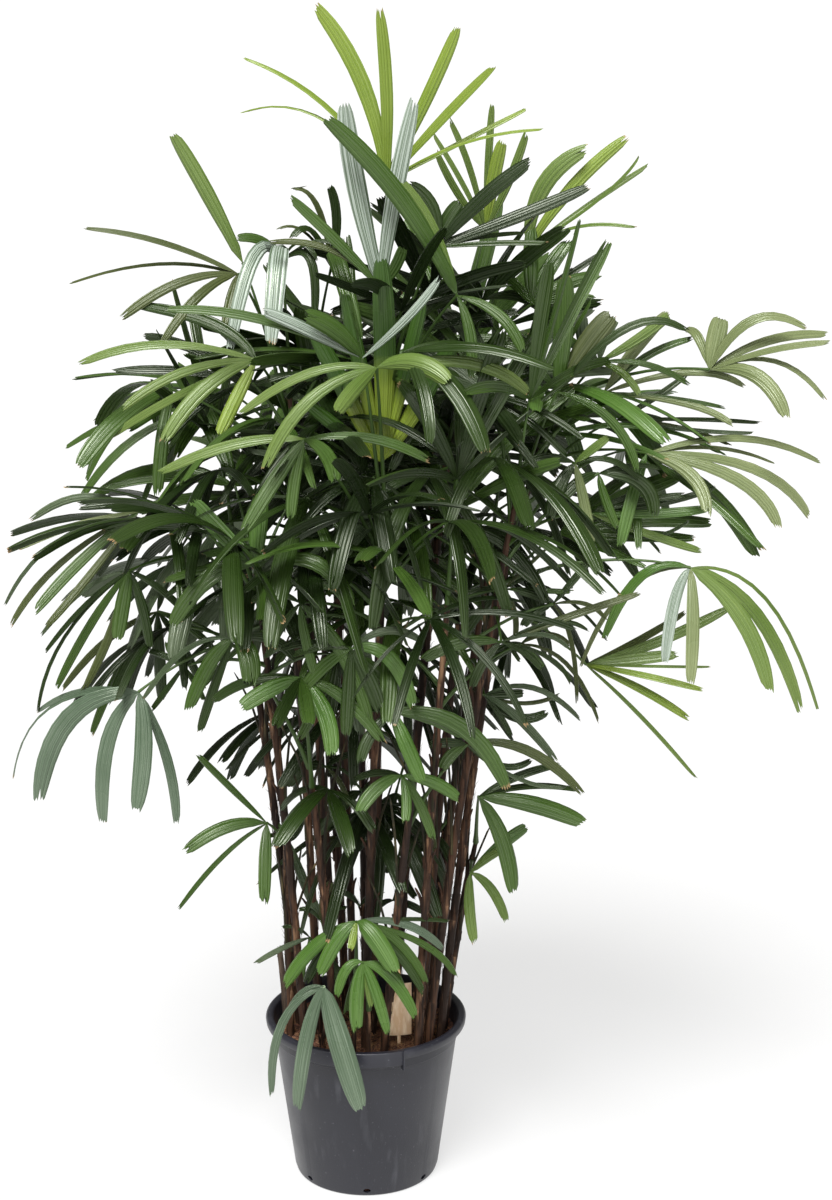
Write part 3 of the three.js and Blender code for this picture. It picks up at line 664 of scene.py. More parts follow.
# Fans that the plant is known by, by cane and rank: place of the hub, tone, and each blade's tip,
# how far its middle swings to the right and up from the straight line, its width, how far it
# faces the front, from 0 for a level blade to 1, and its own tone, if it has one. Ranks past a
# cane's last frond are the few old fans that hang on between the bare stems.
OWN_FANS = {
    (0, 0): ((40, -20, 1740), "lime", [
        ((-75, 10, 2010), (20, 15), 26, 1),
        ((35, -20, 2010), (5, 0), 21, 1),
        ((155, 0, 1980), (10, 15), 21, 0.9),
        ((210, -40, 1920), (10, 15), 18, 0.6),
        ((-185, 40, 1930), (15, 25), 21, 0.1),
        ((-195, 60, 1840), (5, 50), 15, 0.05),
        ((265, 20, 1850), (5, 5), 15, 0.15),
        ((285, -80, 1825), (0, 20), 14, 0.1),
    ]),
    (0, 1): ((30, -90, 1580), "silver", [
        ((-20, -100, 1870), (-10, 10), 32, 1),
        ((80, -100, 1875), (-5, -10), 27, 1),
        ((-115, -70, 1720), (0, 5), 19, 0.7, "mid"),
        ((65, -130, 1650), (5, 0), 19, 0.8, "mid"),
        ((-150, -60, 1650), (10, 25), 12, 0.5, "olive"),
    ]),
    (0, 2): ((118, -60, 1640), "dark", [
        ((270, -60, 1775), (0, 10), 26, 0.8, "shade"),
        ((365, -40, 1730), (5, 0), 22, 0.9, "shade"),
        ((295, -90, 1650), (5, 5), 19, 0.2),
        ((75, -60, 1740), (15, 10), 27, 1),
        ((160, -50, 1710), (0, 5), 31, 1),
        ((260, 0, 1655), (0, 5), 16, 0.2),
    ]),
    (0, 3): ((150, -130, 1572), "mid", [
        ((-50, -150, 1855), (15, 10), 30, 1),
        ((50, -90, 1760), (10, 20), 13, 0.6, "light"),
        ((250, -190, 1490), (15, 15), 19, 0.7),
        ((170, -190, 1450), (10, 5), 19, 0.8),
    ]),
    (0, 5): ((30, -150, 1310), "gold", [
        ((35, -150, 1635), (5, 0), 35, 1),
        ((-75, -120, 1525), (0, 0), 30, 1),
        ((-30, -130, 1580), (0, 0), 24, 1),
        ((140, -120, 1500), (5, 0), 30, 1),
        ((100, -130, 1570), (0, 0), 24, 1),
        ((-90, -160, 1410), (0, 0), 22, 0.8),
    ]),
    (1, 0): ((208, 160, 1640), "light", [
        ((145, 160, 1825), (5, 10), 12, 0.6),
        ((120, 180, 1800), (5, 0), 12, 0.3),
        ((215, 170, 1850), (0, 5), 13, 0.8),
        ((235, 160, 1790), (0, 10), 23, 1, "lime"),
        ((275, 150, 1805), (5, 0), 15, 0.9),
        ((125, 140, 1775), (-5, -5), 13, 0.8),
    ]),
    (1, 1): ((278, 120, 1615), "light", [
        ((375, 120, 1780), (-25, 20), 29, 1, "light"),
        ((445, 140, 1795), (-10, 10), 22, 0.9, "lime"),
        ((485, 180, 1745), (0, 5), 12, 0.3),
        ((455, 80, 1770), (30, 10), 10, 0.2),
        ((450, 60, 1655), (-5, 20), 15, 0.12),
        ((315, 180, 1615), (-5, 0), 14, 0.3),
    ]),
    (2, 0): ((-200, 0, 1590), "olive", [
        ((-445, 0, 1665), (0, 15), 20, 0.3),
        ((-480, 80, 1565), (10, 25), 18, 0.15),
        ((-385, -60, 1525), (0, 25), 20, 0.4),
        ((-320, -90, 1490), (0, 25), 19, 0.5),
        ((-220, -60, 1510), (0, 5), 20, 0.8),
    ]),
    (2, 1): ((-130, 40, 1605), "silver", [
        ((-145, -110, 1490), (5, 75), 32, 1),
        ((-215, -90, 1480), (0, 80), 24, 1),
        ((-205, 20, 1645), (5, 15), 18, 0.6, "mid"),
        ((-70, 0, 1610), (0, 30), 10, 0.4, "dark"),
        ((-15, 20, 1605), (10, 35), 10, 0.4, "dark"),
        ((-75, -20, 1510), (20, 55), 15, 0.8, "dark"),
    ]),
    (2, 3): ((-195, 60, 1600), "light", [
        ((-305, 90, 1810), (0, 5), 25, 1),
    ]),
    (2, 2): ((-168, -120, 1470), "light", [
        ((-450, -120, 1460), (-10, 30), 19, 0.45),
        ((-380, -180, 1405), (-10, 20), 17, 0.7),
        ((-310, -200, 1350), (-10, 20), 24, 0.9),
        ((-225, -180, 1355), (0, 5), 22, 1, "lime"),
        ((-365, -40, 1545), (30, 15), 23, 0.6, "dark"),
        ((-405, -80, 1335), (-20, 0), 16, 0.6),
    ]),
    (5, 0): ((22, -260, 1480), "light", [
        ((-190, -260, 1410), (5, 30), 18, 0.6),
        ((-155, -320, 1335), (-15, 30), 20, 0.7),
        ((-40, -380, 1435), (0, 5), 24, 1),
        ((130, -320, 1465), (5, 20), 30, 1),
        ((255, -260, 1435), (25, 30), 20, 0.7),
    ]),
    (5, 2): ((-90, -260, 1370), "mid", [
        ((-315, -260, 1315), (5, 20), 20, 0.6, "light"),
        ((-185, -320, 1240), (0, 5), 23, 0.9),
        ((-40, -350, 1320), (10, 10), 23, 1),
        ((105, -260, 1335), (5, 20), 19, 0.5),
        ((-110, -300, 1250), (-5, 0), 19, 0.8),
    ]),
    (3, 5): ((540, -60, 1110), "light", [
        ((400, -60, 985), (-10, 50), 17, 0.6, "fresh"),
        ((365, 0, 920), (-15, 50), 9, 0.5, "pale"),
        ((495, -100, 955), (-5, 25), 20, 0.9, "silver"),
        ((530, -150, 935), (5, 10), 22, 1, "pale"),
        ((665, -120, 910), (20, 20), 28, 0.9),
        ((740, -60, 860), (15, 45), 23, 0.8),
        ((775, 0, 840), (15, 75), 13, 0.3),
    ]),
    (14, 0): ((570, 0, 1430), "pale", [
        ((590, 20, 1515), (0, 5), 32, 1),
        ((730, 0, 1500), (-10, 50), 22, 0.5),
        ((775, 60, 1480), (-5, 20), 20, 0.4),
        ((755, -60, 1485), (0, 10), 18, 0.3),
        ((685, -90, 1365), (15, 30), 26, 0.9),
        ((760, -30, 1385), (10, 40), 15, 0.3),
        ((535, 60, 1485), (0, 25), 18, 0.6),
    ]),
    (14, 3): ((470, 0, 1290), "pale", [
        ((770, 60, 1265), (10, 35), 19, 0.3),
        ((745, 0, 1180), (40, 30), 20, 0.6),
        ((685, -60, 1175), (40, 20), 22, 0.7),
        ((560, -90, 1205), (25, 15), 23, 0.9),
        ((700, 90, 1250), (5, 20), 14, 0.3),
        ((420, -60, 1145), (0, 10), 22, 1, "fresh"),
    ]),
    (6, 2): ((378, 20, 920), "lime", [
        ((630, 80, 1000), (-5, -10), 20, 0.5, "light"),
        ((560, 110, 985), (-10, -10), 18, 0.4, "olive"),
        ((535, 20, 940), (0, 0), 23, 0.6, "light"),
        ((585, -20, 925), (0, 0), 8, 0.2, "light"),
        ((570, -50, 895), (-5, 5), 15, 0.3),
        ((555, -20, 835), (5, 5), 15, 0.7),
        ((570, 0, 720), (0, 10), 9, 0.5, "light"),
    ]),
    (4, 0): ((-370, -20, 1200), "olive", [
        ((-550, -20, 1185), (0, 35), 15, 0.5, "grey"),
        ((-565, -60, 1145), (-5, 10), 14, 0.5, "pale"),
        ((-605, 20, 1030), (-25, 30), 9, 0.4, "grey"),
        ((-580, -80, 1020), (-25, 10), 12, 0.6),
        ((-540, -110, 1055), (-10, 0), 19, 0.9, "mid"),
        ((-515, -140, 1035), (-10, -15), 14, 0.8),
    ]),
    (4, 4): ((-370, -120, 920), "bluish", [
        ((-540, -120, 730), (-30, 50), 33, 0.95),
        ((-590, -60, 750), (-40, 50), 15, 0.2),
        ((-430, -170, 710), (-20, 30), 26, 1),
        ((-370, -200, 740), (10, 15), 30, 1),
        ((-310, -140, 695), (15, 0), 17, 0.7),
        ((-550, -30, 860), (-10, 20), 15, 0.4),
    ]),
    (4, 1): ((-170, -220, 1160), "mid", [
        ((-305, -260, 1070), (-5, 30), 27, 0.9),
        ((-155, -330, 1095), (10, -5), 28, 1),
        ((-20, -260, 1095), (20, 40), 25, 0.8),
        ((-270, -180, 1258), (-5, 0), 27, 1, "fresh"),
        ((-160, -200, 1272), (0, 0), 29, 1, "fresh"),
        ((-320, -160, 1120), (0, 10), 19, 0.5),
    ]),
    (16, 0): ((-210, -190, 1030), "dark", [
        ((-360, -180, 925), (0, 35), 11, 0.5, "grey"),
        ((-285, -210, 915), (0, 20), 24, 0.9, "mid"),
        ((-180, -240, 965), (10, 15), 34, 1, "mid"),
        ((-110, -170, 985), (10, 20), 18, 0.7),
        ((-265, -190, 870), (-5, -5), 16, 0.8),
    ]),
    (16, 1): ((-100, -240, 980), "dark", [
        ((-245, -220, 935), (-10, 15), 19, 0.6),
        ((-195, -280, 940), (-5, 5), 27, 0.9, "fresh"),
        ((-140, -320, 920), (0, 5), 21, 1),
        ((-85, -330, 930), (0, 0), 24, 1, "mid"),
        ((-55, -310, 870), (15, 5), 27, 1, "fresh"),
        ((30, -280, 880), (5, 20), 21, 0.8, "mid"),
    ]),
    (21, 0): ((-15, -150, 525), "mid", [
        ((-135, -170, 415), (-10, 15), 24, 0.7, "fresh"),
        ((-100, -140, 405), (-10, 5), 19, 0.7, "dark"),
        ((-80, -180, 440), (0, 15), 25, 0.9, "fresh"),
        ((50, -200, 450), (-5, 20), 32, 1, "fresh"),
        ((105, -160, 415), (10, 20), 15, 0.9),
        ((100, -170, 400), (10, 10), 15, 0.8, "dark"),
        ((135, -130, 465), (10, 20), 15, 0.7, "bluish"),
        ((150, -150, 420), (30, 10), 12, 0.7),
        ((145, -120, 510), (10, 5), 8, 0.5, "dark"),
        ((-25, -180, 485), (0, 0), 13, 1, "lime"),
    ]),
    (23, 0): ((-5, -170, 460), "fresh", [
        ((-50, -190, 405), (-5, 20), 17, 0.9),
        ((-15, -200, 345), (-5, 5), 24, 1),
        ((10, -180, 380), (0, 5), 12, 0.9, "light"),
        ((35, -200, 340), (0, 15), 19, 1),
        ((85, -180, 360), (5, 20), 19, 0.9),
        ((65, -160, 380), (15, 20), 12, 0.8, "mid"),
        ((-35, -160, 360), (0, 10), 12, 0.8, "mid"),
    ]),
    (22, 0): ((-70, -190, 425), "bluish", [
        ((-160, -210, 235), (-25, 35), 15, 0.8),
        ((-115, -230, 220), (-5, 25), 25, 0.9),
        ((-10, -250, 225), (-5, 15), 39, 1),
        ((-150, -190, 320), (-5, 35), 10, 0.5),
    ]),
    (12, 0): ((-165, -80, 675), "mid", [
        ((-280, -80, 800), (-5, 5), 12, 0.7),
        ((-305, -120, 640), (0, 20), 24, 0.7),
        ((-170, -150, 555), (0, 10), 22, 1),
        ((-315, -100, 525), (0, 20), 10, 0.4),
    ]),
    (13, 0): ((190, -110, 730), "mid", [
        ((370, -130, 690), (5, 10), 30, 0.8),
        ((250, -170, 580), (10, 10), 28, 1),
        ((365, -50, 720), (0, 15), 17, 0.3, "dark"),
        ((330, -80, 775), (0, 10), 17, 0.5, "dark"),
    ]),
    (13, 1): ((180, -60, 575), "light", [
        ((185, -110, 465), (-5, 5), 19, 1),
        ((240, -80, 490), (5, 15), 17, 0.9),
        ((280, -40, 650), (5, 10), 21, 0.9, "fresh"),
        ((230, -70, 620), (0, 5), 15, 0.6),
    ]),
    (17, 0): ((45, -250, 925), "mid", [
        ((165, -250, 880), (0, 15), 26, 0.8),
        ((95, -310, 825), (-5, 10), 24, 1, "fresh"),
        ((225, -280, 800), (20, 40), 27, 0.9),
        ((-40, -220, 900), (0, 15), 19, 0.6, "dark"),
        ((-5, -290, 850), (-10, 5), 19, 0.8, "dark"),
    ]),
    (17, 1): ((60, -200, 800), "fresh", [
        ((-10, -240, 750), (-5, 10), 23, 0.9),
        ((65, -250, 735), (5, 0), 16, 1),
        ((110, -240, 700), (5, 5), 16, 0.9, "mid"),
        ((155, -200, 755), (5, 10), 21, 0.8),
        ((-20, -160, 780), (0, 10), 15, 0.5, "dark"),
    ]),
    (2, 18): ((-65, -10, 750), "dark", [
        ((-135, -50, 725), (-5, 20), 26, 0.6),
        ((-25, -30, 685), (5, 5), 10, 0.8, "olive"),
        ((-10, 20, 765), (-5, 5), 14, 0.4),
        ((-15, 0, 715), (5, 10), 7, 0.5),
    ]),
    (19, 9): ((-5, 35, 690), "dark", [
        ((-85, -15, 625), (0, 15), 28, 0.7),
        ((-30, 15, 600), (0, -5), 12, 0.8, "grey"),
        ((60, 55, 710), (0, 10), 16, 0.5),
    ]),
    (10, 14): ((0, 115, 560), "dark", [
        ((-90, 75, 570), (-5, 10), 21, 0.9, "olive"),
        ((55, 105, 575), (0, 15), 21, 0.7),
        ((50, 95, 525), (0, 10), 16, 0.7),
        ((-60, 125, 535), (-5, -15), 7, 0.5),
    ]),
    (19, 15): ((-10, 25, 480), "grey", [
        ((-55, 25, 500), (0, 15), 11, 0.6),
        ((35, 35, 505), (0, 10), 11, 0.6, "dark"),
    ]),
    (16, 10): ((-75, -85, 500), "olive", [
        ((-55, -95, 575), (-5, 5), 14, 0.9),
        ((-30, -105, 530), (5, 10), 7, 0.6, "dark"),
        ((-115, -75, 515), (0, 10), 9, 0.6, "dark"),
    ]),
    (7, 14): ((-130, 15, 605), "grey", [
        ((-75, -45, 480), (-5, 5), 17, 0.9),
        ((-175, -5, 620), (0, 10), 10, 0.5, "dark"),
        ((-110, 35, 645), (5, 0), 12, 0.7, "dark"),
    ]),
    (9, 20): ((50, 75, 470), "grey", [
        ((105, 55, 455), (0, 5), 14, 0.8),
        ((10, 65, 445), (0, 10), 11, 0.7, "dark"),
    ]),
    (9, 16): ((60, 85, 550), "dark", [
        ((90, 55, 480), (-5, -5), 14, 0.9),
        ((125, 75, 570), (0, 10), 21, 0.7),
        ((35, 85, 515), (0, 5), 11, 0.7),
    ]),
    (6, 13): ((125, 25, 610), "dark", [
        ((65, 5, 575), (0, 20), 24, 0.7),
        ((110, 35, 650), (5, 5), 16, 0.6),
        ((155, -5, 560), (0, 5), 16, 0.8),
        ((80, 55, 610), (0, 15), 14, 0.5),
    ]),
    (20, 8): ((100, -20, 700), "olive", [
        ((120, -40, 605), (0, 5), 12, 0.9),
        ((70, -10, 655), (0, 0), 12, 0.7, "dark"),
    ]),
    (9, 13): ((55, 95, 665), "dark", [
        ((35, 75, 590), (0, 0), 16, 0.8),
        ((15, 95, 635), (0, 0), 14, 0.6),
        ((80, 95, 610), (5, 0), 16, 0.7, "mid"),
    ]),
    (3, 0): ((400, 40, 1385), "mid", [
        ((635, 20, 1400), (25, 30), 13, 0.7, "pale"),
        ((600, 0, 1365), (5, 5), 8, 0.6),
        ((610, -20, 1340), (30, 10), 13, 0.7, "pale"),
        ((505, 40, 1520), (5, 15), 22, 0.7, "pale"),
        ((550, 60, 1475), (-5, 15), 15, 0.6),
    ]),
    (3, 2): ((315, -60, 1405), "mid", [
        ((320, -60, 1595), (5, 5), 32, 1),
        ((405, -40, 1530), (5, 15), 37, 0.9, "olive"),
        ((525, -60, 1500), (10, 60), 18, 0.5, "dark"),
        ((445, -120, 1285), (20, 20), 16, 0.9),
        ((230, -40, 1480), (-5, 20), 19, 0.6, "dark"),
    ]),
    (3, 4): ((345, -70, 1290), "dark", [
        ((375, -110, 1160), (0, 5), 18, 0.9, "pale"),
        ((400, -70, 1335), (0, 0), 15, 0.8, "light"),
        ((300, -110, 1205), (-5, 5), 23, 0.8),
        ((255, -80, 1280), (-5, 15), 20, 0.6),
        ((450, -70, 1260), (5, 20), 11, 0.6),
    ]),
    (14, 4): ((425, 60, 1335), "dark", [
        ((670, 60, 1325), (10, 5), 8, 0.6),
        ((655, 40, 1315), (5, -5), 10, 0.5, "grey"),
        ((620, 60, 1290), (10, 10), 8, 0.6, "olive"),
        ((545, 80, 1410), (5, 0), 13, 0.6),
    ]),
    (15, 2): ((375, -20, 1195), "dark", [
        ((475, -10, 1230), (5, 5), 10, 0.6),
        ((535, -20, 1225), (5, 5), 13, 0.6),
        ((590, 0, 1230), (10, -5), 12, 0.6),
        ((580, -20, 1200), (5, -5), 17, 0.7, "fresh"),
        ((545, -20, 1180), (0, -35), 7, 0.6),
        ((565, -30, 1130), (10, -5), 15, 0.7, "light"),
    ]),
    (15, 3): ((385, -60, 1270), "mid", [
        ((475, -80, 1200), (25, 20), 25, 0.9, "dark"),
        ((415, -100, 1185), (-5, 5), 15, 0.9),
        ((320, -90, 1230), (0, 10), 20, 0.7, "dark"),
        ((490, -50, 1275), (0, 10), 10, 0.5, "dark"),
    ]),
    (11, 3): ((310, -100, 1060), "olive", [
        ((350, -110, 890), (10, 25), 8, 0.8),
        ((400, -100, 1030), (10, 15), 8, 0.7),
        ((260, -120, 1025), (-5, 5), 16, 0.7, "dark"),
        ((250, -100, 1085), (0, 5), 16, 0.7, "dark"),
        ((370, -80, 1130), (5, 5), 13, 0.6, "dark"),
    ]),
    (11, 5): ((260, -60, 980), "dark", [
        ((345, -60, 975), (5, 20), 10, 0.6, "olive"),
        ((375, -50, 1000), (0, 25), 7, 0.5),
        ((395, -80, 850), (10, 35), 8, 0.7, "olive"),
        ((300, -70, 940), (0, 0), 15, 0.8, "mid"),
        ((195, -80, 945), (0, 10), 20, 0.7),
    ]),
    (6, 5): ((200, -70, 895), "dark", [
        ((270, -60, 895), (0, 0), 17, 0.7),
        ((330, -50, 890), (5, -15), 8, 0.6, "olive"),
        ((310, -70, 865), (0, -25), 17, 0.7),
        ((365, -80, 855), (0, 35), 10, 0.7, "grey"),
        ((320, -100, 785), (-5, 20), 15, 0.9, "grey"),
        ((245, -90, 825), (5, 0), 10, 0.8),
    ]),
    (17, 2): ((170, -120, 825), "dark", [
        ((365, -130, 740), (0, 35), 17, 0.8, "olive"),
        ((280, -100, 795), (5, -25), 13, 0.6),
        ((340, -110, 750), (5, -25), 8, 0.5, "grey"),
        ((125, -150, 790), (-5, 5), 20, 0.8, "mid"),
        ((105, -120, 825), (0, 5), 18, 0.6),
    ]),
    (4, 22): ((-95, -75, 465), "grey", [
        ((-190, -85, 420), (0, 5), 10, 0.7),
        ((-145, -65, 480), (0, 10), 7, 0.6, "dark"),
        ((-35, -95, 380), (5, 0), 19, 0.8, "dark"),
    ]),
    (5, 1): ((0, -200, 1485), "mid", [
        ((-305, -190, 1560), (-5, 25), 20, 0.5),
        ((-155, -220, 1560), (-10, 10), 19, 0.9, "silver"),
        ((-90, -240, 1560), (5, 10), 29, 0.9),
        ((-5, -200, 1515), (-15, 75), 6, 0.5),
        ((120, -190, 1610), (10, 0), 14, 0.9, "silver"),
    ]),
    (8, 0): ((-50, 70, 1590), "dark", [
        ((-5, -90, 1490), (-15, 80), 28, 1, "mid"),
        ((-115, 60, 1720), (10, 40), 13, 0.4, "olive"),
        ((-140, 50, 1655), (0, 30), 8, 0.3, "olive"),
        ((-115, 30, 1640), (0, 40), 16, 0.5),
        ((-50, 40, 1730), (10, 10), 16, 0.7),
    ]),
    (14, 2): ((390, 20, 1440), "mid", [
        ((505, 20, 1520), (15, 5), 18, 0.8, "light"),
        ((360, 10, 1520), (-10, -5), 23, 0.8, "grey"),
        ((420, 40, 1510), (-5, 5), 17, 0.7, "grey"),
        ((540, 0, 1405), (5, 15), 12, 0.6),
        ((310, 30, 1485), (-5, 10), 18, 0.7),
        ((455, -20, 1390), (5, 10), 13, 0.7, "light"),
    ]),
    (15, 5): ((220, -200, 1025), "dark", [
        ((445, -180, 1100), (5, 5), 14, 0.6, "olive"),
        ((360, -190, 1040), (15, 25), 6, 0.5),
        ((330, -200, 1010), (10, 20), 8, 0.6, "grey"),
        ((335, -210, 955), (20, 10), 8, 0.6),
        ((285, -220, 985), (5, 5), 11, 0.8),
        ((90, -220, 1000), (0, 15), 21, 0.7, "mid"),
        ((170, -230, 955), (-5, 5), 16, 0.8),
    ]),
    (5, 6): ((230, -94, 1085), "dark", [
        ((320, -85, 1125), (-5, 0), 8, 0.5),
        ((300, -75, 1150), (0, 0), 7, 0.5, "olive"),
        ((345, -95, 1080), (0, 0), 10, 0.6, "mid"),
        ((125, -105, 1040), (-5, 15), 16, 0.7),
        ((145, -115, 970), (-10, 5), 18, 0.8),
        ((245, -115, 1005), (10, 0), 10, 0.7, "olive"),
    ]),
    (5, 5): ((-100, -230, 1100), "mid", [
        ((-75, -250, 980), (-5, 5), 16, 0.9),
        ((10, -270, 910), (10, 20), 22, 0.9),
        ((-20, -230, 1085), (5, 40), 21, 0.8),
        ((-155, -230, 1005), (-5, 5), 13, 0.7, "dark"),
        ((-180, -220, 1100), (0, 15), 14, 0.6, "dark"),
        ((-55, -220, 1165), (5, 0), 13, 0.6, "dark"),
    ]),
    (4, 5): ((-20, -250, 1030), "mid", [
        ((80, -280, 940), (10, 35), 24, 0.9, "fresh"),
        ((95, -240, 1040), (0, 25), 14, 0.6, "grey"),
        ((25, -270, 930), (5, 0), 25, 0.9, "dark"),
        ((-100, -250, 960), (0, 10), 21, 0.8),
        ((-30, -290, 895), (0, 0), 22, 1, "dark"),
        ((-115, -240, 1015), (0, 10), 13, 0.5, "dark"),
    ]),
    (7, 1): ((-385, -60, 1110), "dark", [
        ((-535, -50, 995), (0, 25), 10, 0.5, "grey"),
        ((-530, -60, 970), (0, 15), 10, 0.5),
        ((-510, -70, 910), (0, 15), 15, 0.8, "mid"),
        ((-465, -80, 910), (10, 5), 15, 0.8, "olive"),
        ((-550, -40, 860), (-30, 10), 8, 0.4),
        ((-405, -100, 1000), (0, 5), 25, 0.9, "mid"),
        ((-355, -80, 980), (5, 5), 17, 0.9),
        ((-285, -60, 1030), (0, 10), 13, 0.6),
    ]),
    (7, 6): ((-350, 50, 1010), "dark", [
        ((-515, 50, 870), (-5, 20), 14, 0.7, "olive"),
        ((-465, 40, 790), (-10, 5), 15, 0.8, "mid"),
        ((-435, 30, 850), (-5, 5), 17, 0.8),
        ((-350, 40, 850), (0, 0), 21, 0.9),
        ((-270, 50, 870), (0, 10), 15, 0.8),
        ((-255, 60, 940), (0, 10), 14, 0.6, "mid"),
        ((-325, 50, 1100), (0, 0), 14, 0.6),
    ]),
    (4, 5.5): ((-300, -60, 945), "dark", [
        ((-355, -70, 870), (0, 0), 10, 0.7),
        ((-265, -70, 885), (0, 5), 10, 0.7, "mid"),
        ((-360, -50, 970), (0, 5), 12, 0.6),
        ((-245, -50, 990), (0, 5), 10, 0.5),
        ((-325, -60, 990), (-5, 0), 13, 0.7, "mid"),
    ]),
    (4, 6): ((-40, -200, 1005), "dark", [
        ((55, -220, 930), (5, 20), 19, 0.8, "mid"),
        ((-5, -240, 880), (5, 10), 22, 0.9, "grey"),
        ((-55, -230, 900), (0, 0), 21, 0.9),
        ((-115, -210, 935), (0, 10), 18, 0.8),
        ((-135, -200, 1015), (0, 15), 14, 0.6),
        ((-105, -220, 865), (0, 0), 18, 0.9, "mid"),
    ]),
}


def chance(a, b):
    """A repeatable number from 0 to 1 for two numbers: what grows, and which of its draws it is."""
    s = math.sin(a * 127.1 + b * 311.7) * 43758.5453
    return s - math.floor(s)


def wobble(span, a, b):
    """A repeatable number within half of span either way."""
    return span * (chance(a, b) - 0.5)


def mix(ends, share):
    """The value at a share of the way between two."""
    return ends[0] + (ends[1] - ends[0]) * share


def heading(azimuth, elevation):
    """The unit vector at an azimuth from +X towards +Y and an elevation above the ground."""
    a, e = math.radians(azimuth), math.radians(elevation)
    return np.array([math.cos(e) * math.cos(a), math.cos(e) * math.sin(a), math.sin(e)])


def bow(start, middle, end, shares):
    """Points at shares along the curve from start to end that is drawn towards middle."""
    t = np.atleast_1d(shares)[:, None]
    return (1 - t) ** 2 * start + 2 * t * (1 - t) * middle + t * t * end


def cane_line(foot, tip):
    """The three points of a cane's line: nearly straight up out of the soil, then leaning out."""
    start = np.array([*foot, SOIL_TOP / MM - FOOT_DEPTH])
    end = np.array(tip, float)
    middle = start + CANE_BEND * (end - start)
    middle[2] = (start[2] + end[2]) / 2
    return start, middle, end


canes = []
for index, (foot, tip, fronds, azimuth) in enumerate(CANES + SUCKERS):
    line = cane_line(foot, tip)
    length = np.linalg.norm(np.diff(bow(*line, np.linspace(0, 1, 201)), axis=0), axis=1).sum()
    canes.append(
        {
            "index": index,
            "line": line,
            "length": length,
            "fronds": fronds,
            "azimuth": azimuth,
            "bare": 1 - INTERNODE * fronds / length,
            "girth": SUCKER_GIRTH if index >= len(CANES) else 1,
            "points": bow(*line, np.linspace(0, 1, 41)),
        }
    )

# ---------------------------------------------------------------- canes
# Slender green stems that never show: each is wrapped in the woven brown fibre of its old leaf
# sheaths. Every sheath overlaps the next with a frayed edge, and stubs of cut leaf stalks stand out.

SHEATH = 46
SHEATH_TURN = 2.4
SHEATH_TILT = 3.0
SHEATH_SWELL = 0.12
CANE_SIDES = 14
CANE_END = 0.999
RING_PHASES = (0.02, 0.3, 0.6, 0.9, 0.975)
BARK_DARK = (0.0160, 0.0085, 0.0055)
BARK_BROWN = (0.105, 0.050, 0.027)
BARK_PALE = (0.33, 0.190, 0.105)
STRAW_DARK = (0.014, 0.013, 0.006)
STRAW = (0.062, 0.050, 0.020)
STRAW_PALE = (0.22, 0.16, 0.075)
# Canes as short as the first bear the fewest fibres and stubs, and none of the long old stalks.
GRADED_LENGTHS = (257, 1157)
FRAY_RADII = (0.55, 0.5, 0.4, 0.12)
FRAY_REACHES = (14, 42)
FRAY_LIFTS = (1.5, 7)
STUB_RADII = (3.8, 3.3, 2.5, 1.8, 0.8)
STUB_LENGTHS = (18, 50)
OLD_STALK_RADII = (3.2, 2.4, 2.0, 1.7, 0.5)
OLD_STALK_LENGTHS = (120, 290)
OLD_STALK_SPAN = (0.3, 0.8)
OLD_STALK_SHAPE = (0, 0.3, 0.65, 0.93, 1)
OLD_STALK_LEANS = (0.12, 0.42)


def sheath_bands(tree, pale_from):
    """A mask that is 1 at the frayed top of each sheath, whose heights the surface's v counts."""
    surface = add_node(tree, "ShaderNodeUVMap", uv_map="surface").outputs["UV"]
    up = add_node(tree, "ShaderNodeSeparateXYZ", {0: surface}).outputs["Y"]
    return ranged(tree, worked_out(tree, "FRACT", up, 0), 0, 1, pale_from)


def woven_bark(name, dark, brown, pale, roughness):
    """Fibrous sheaths: near black, worn brown in patches and streaks, with pale frayed edges."""
    material, tree, shader = new_finish(name, brown, roughness, Specular_IOR_Level=0.2)
    streaks = cloudy(tree, 190, detail=5, low=0.38, high=0.66, stretch=(1, 1, 0.045))
    patches = cloudy(tree, 17, low=0.42, high=0.62, stretch=(1, 1, 0.3))
    tufts = cloudy(tree, 75, detail=5, low=0.58, high=0.74, stretch=(1, 1, 0.12))
    ground = mixed(tree, streaks, dark, mixed(tree, patches, dark, brown))
    patched = mixed(tree, tufts, ground, mixed(tree, patches, brown, pale))
    edges = worked_out(tree, "MULTIPLY", sheath_bands(tree, 0.6), tufts)
    tree.links.new(mixed(tree, edges, patched, pale), shader.inputs["Base Color"])
    relief(tree, shader, streaks, depth=0.0015, strength=0.9)
    return material


def cane_radius(cane, share):
    """The radius of a cane's stem at a share of its length, in millimetres."""
    if share <= cane["bare"]:
        return cane["girth"] * mix(CANE_RADII[:2], share / cane["bare"])
    return cane["girth"] * mix(CANE_RADII[1:], (share - cane["bare"]) / (1 - cane["bare"]))


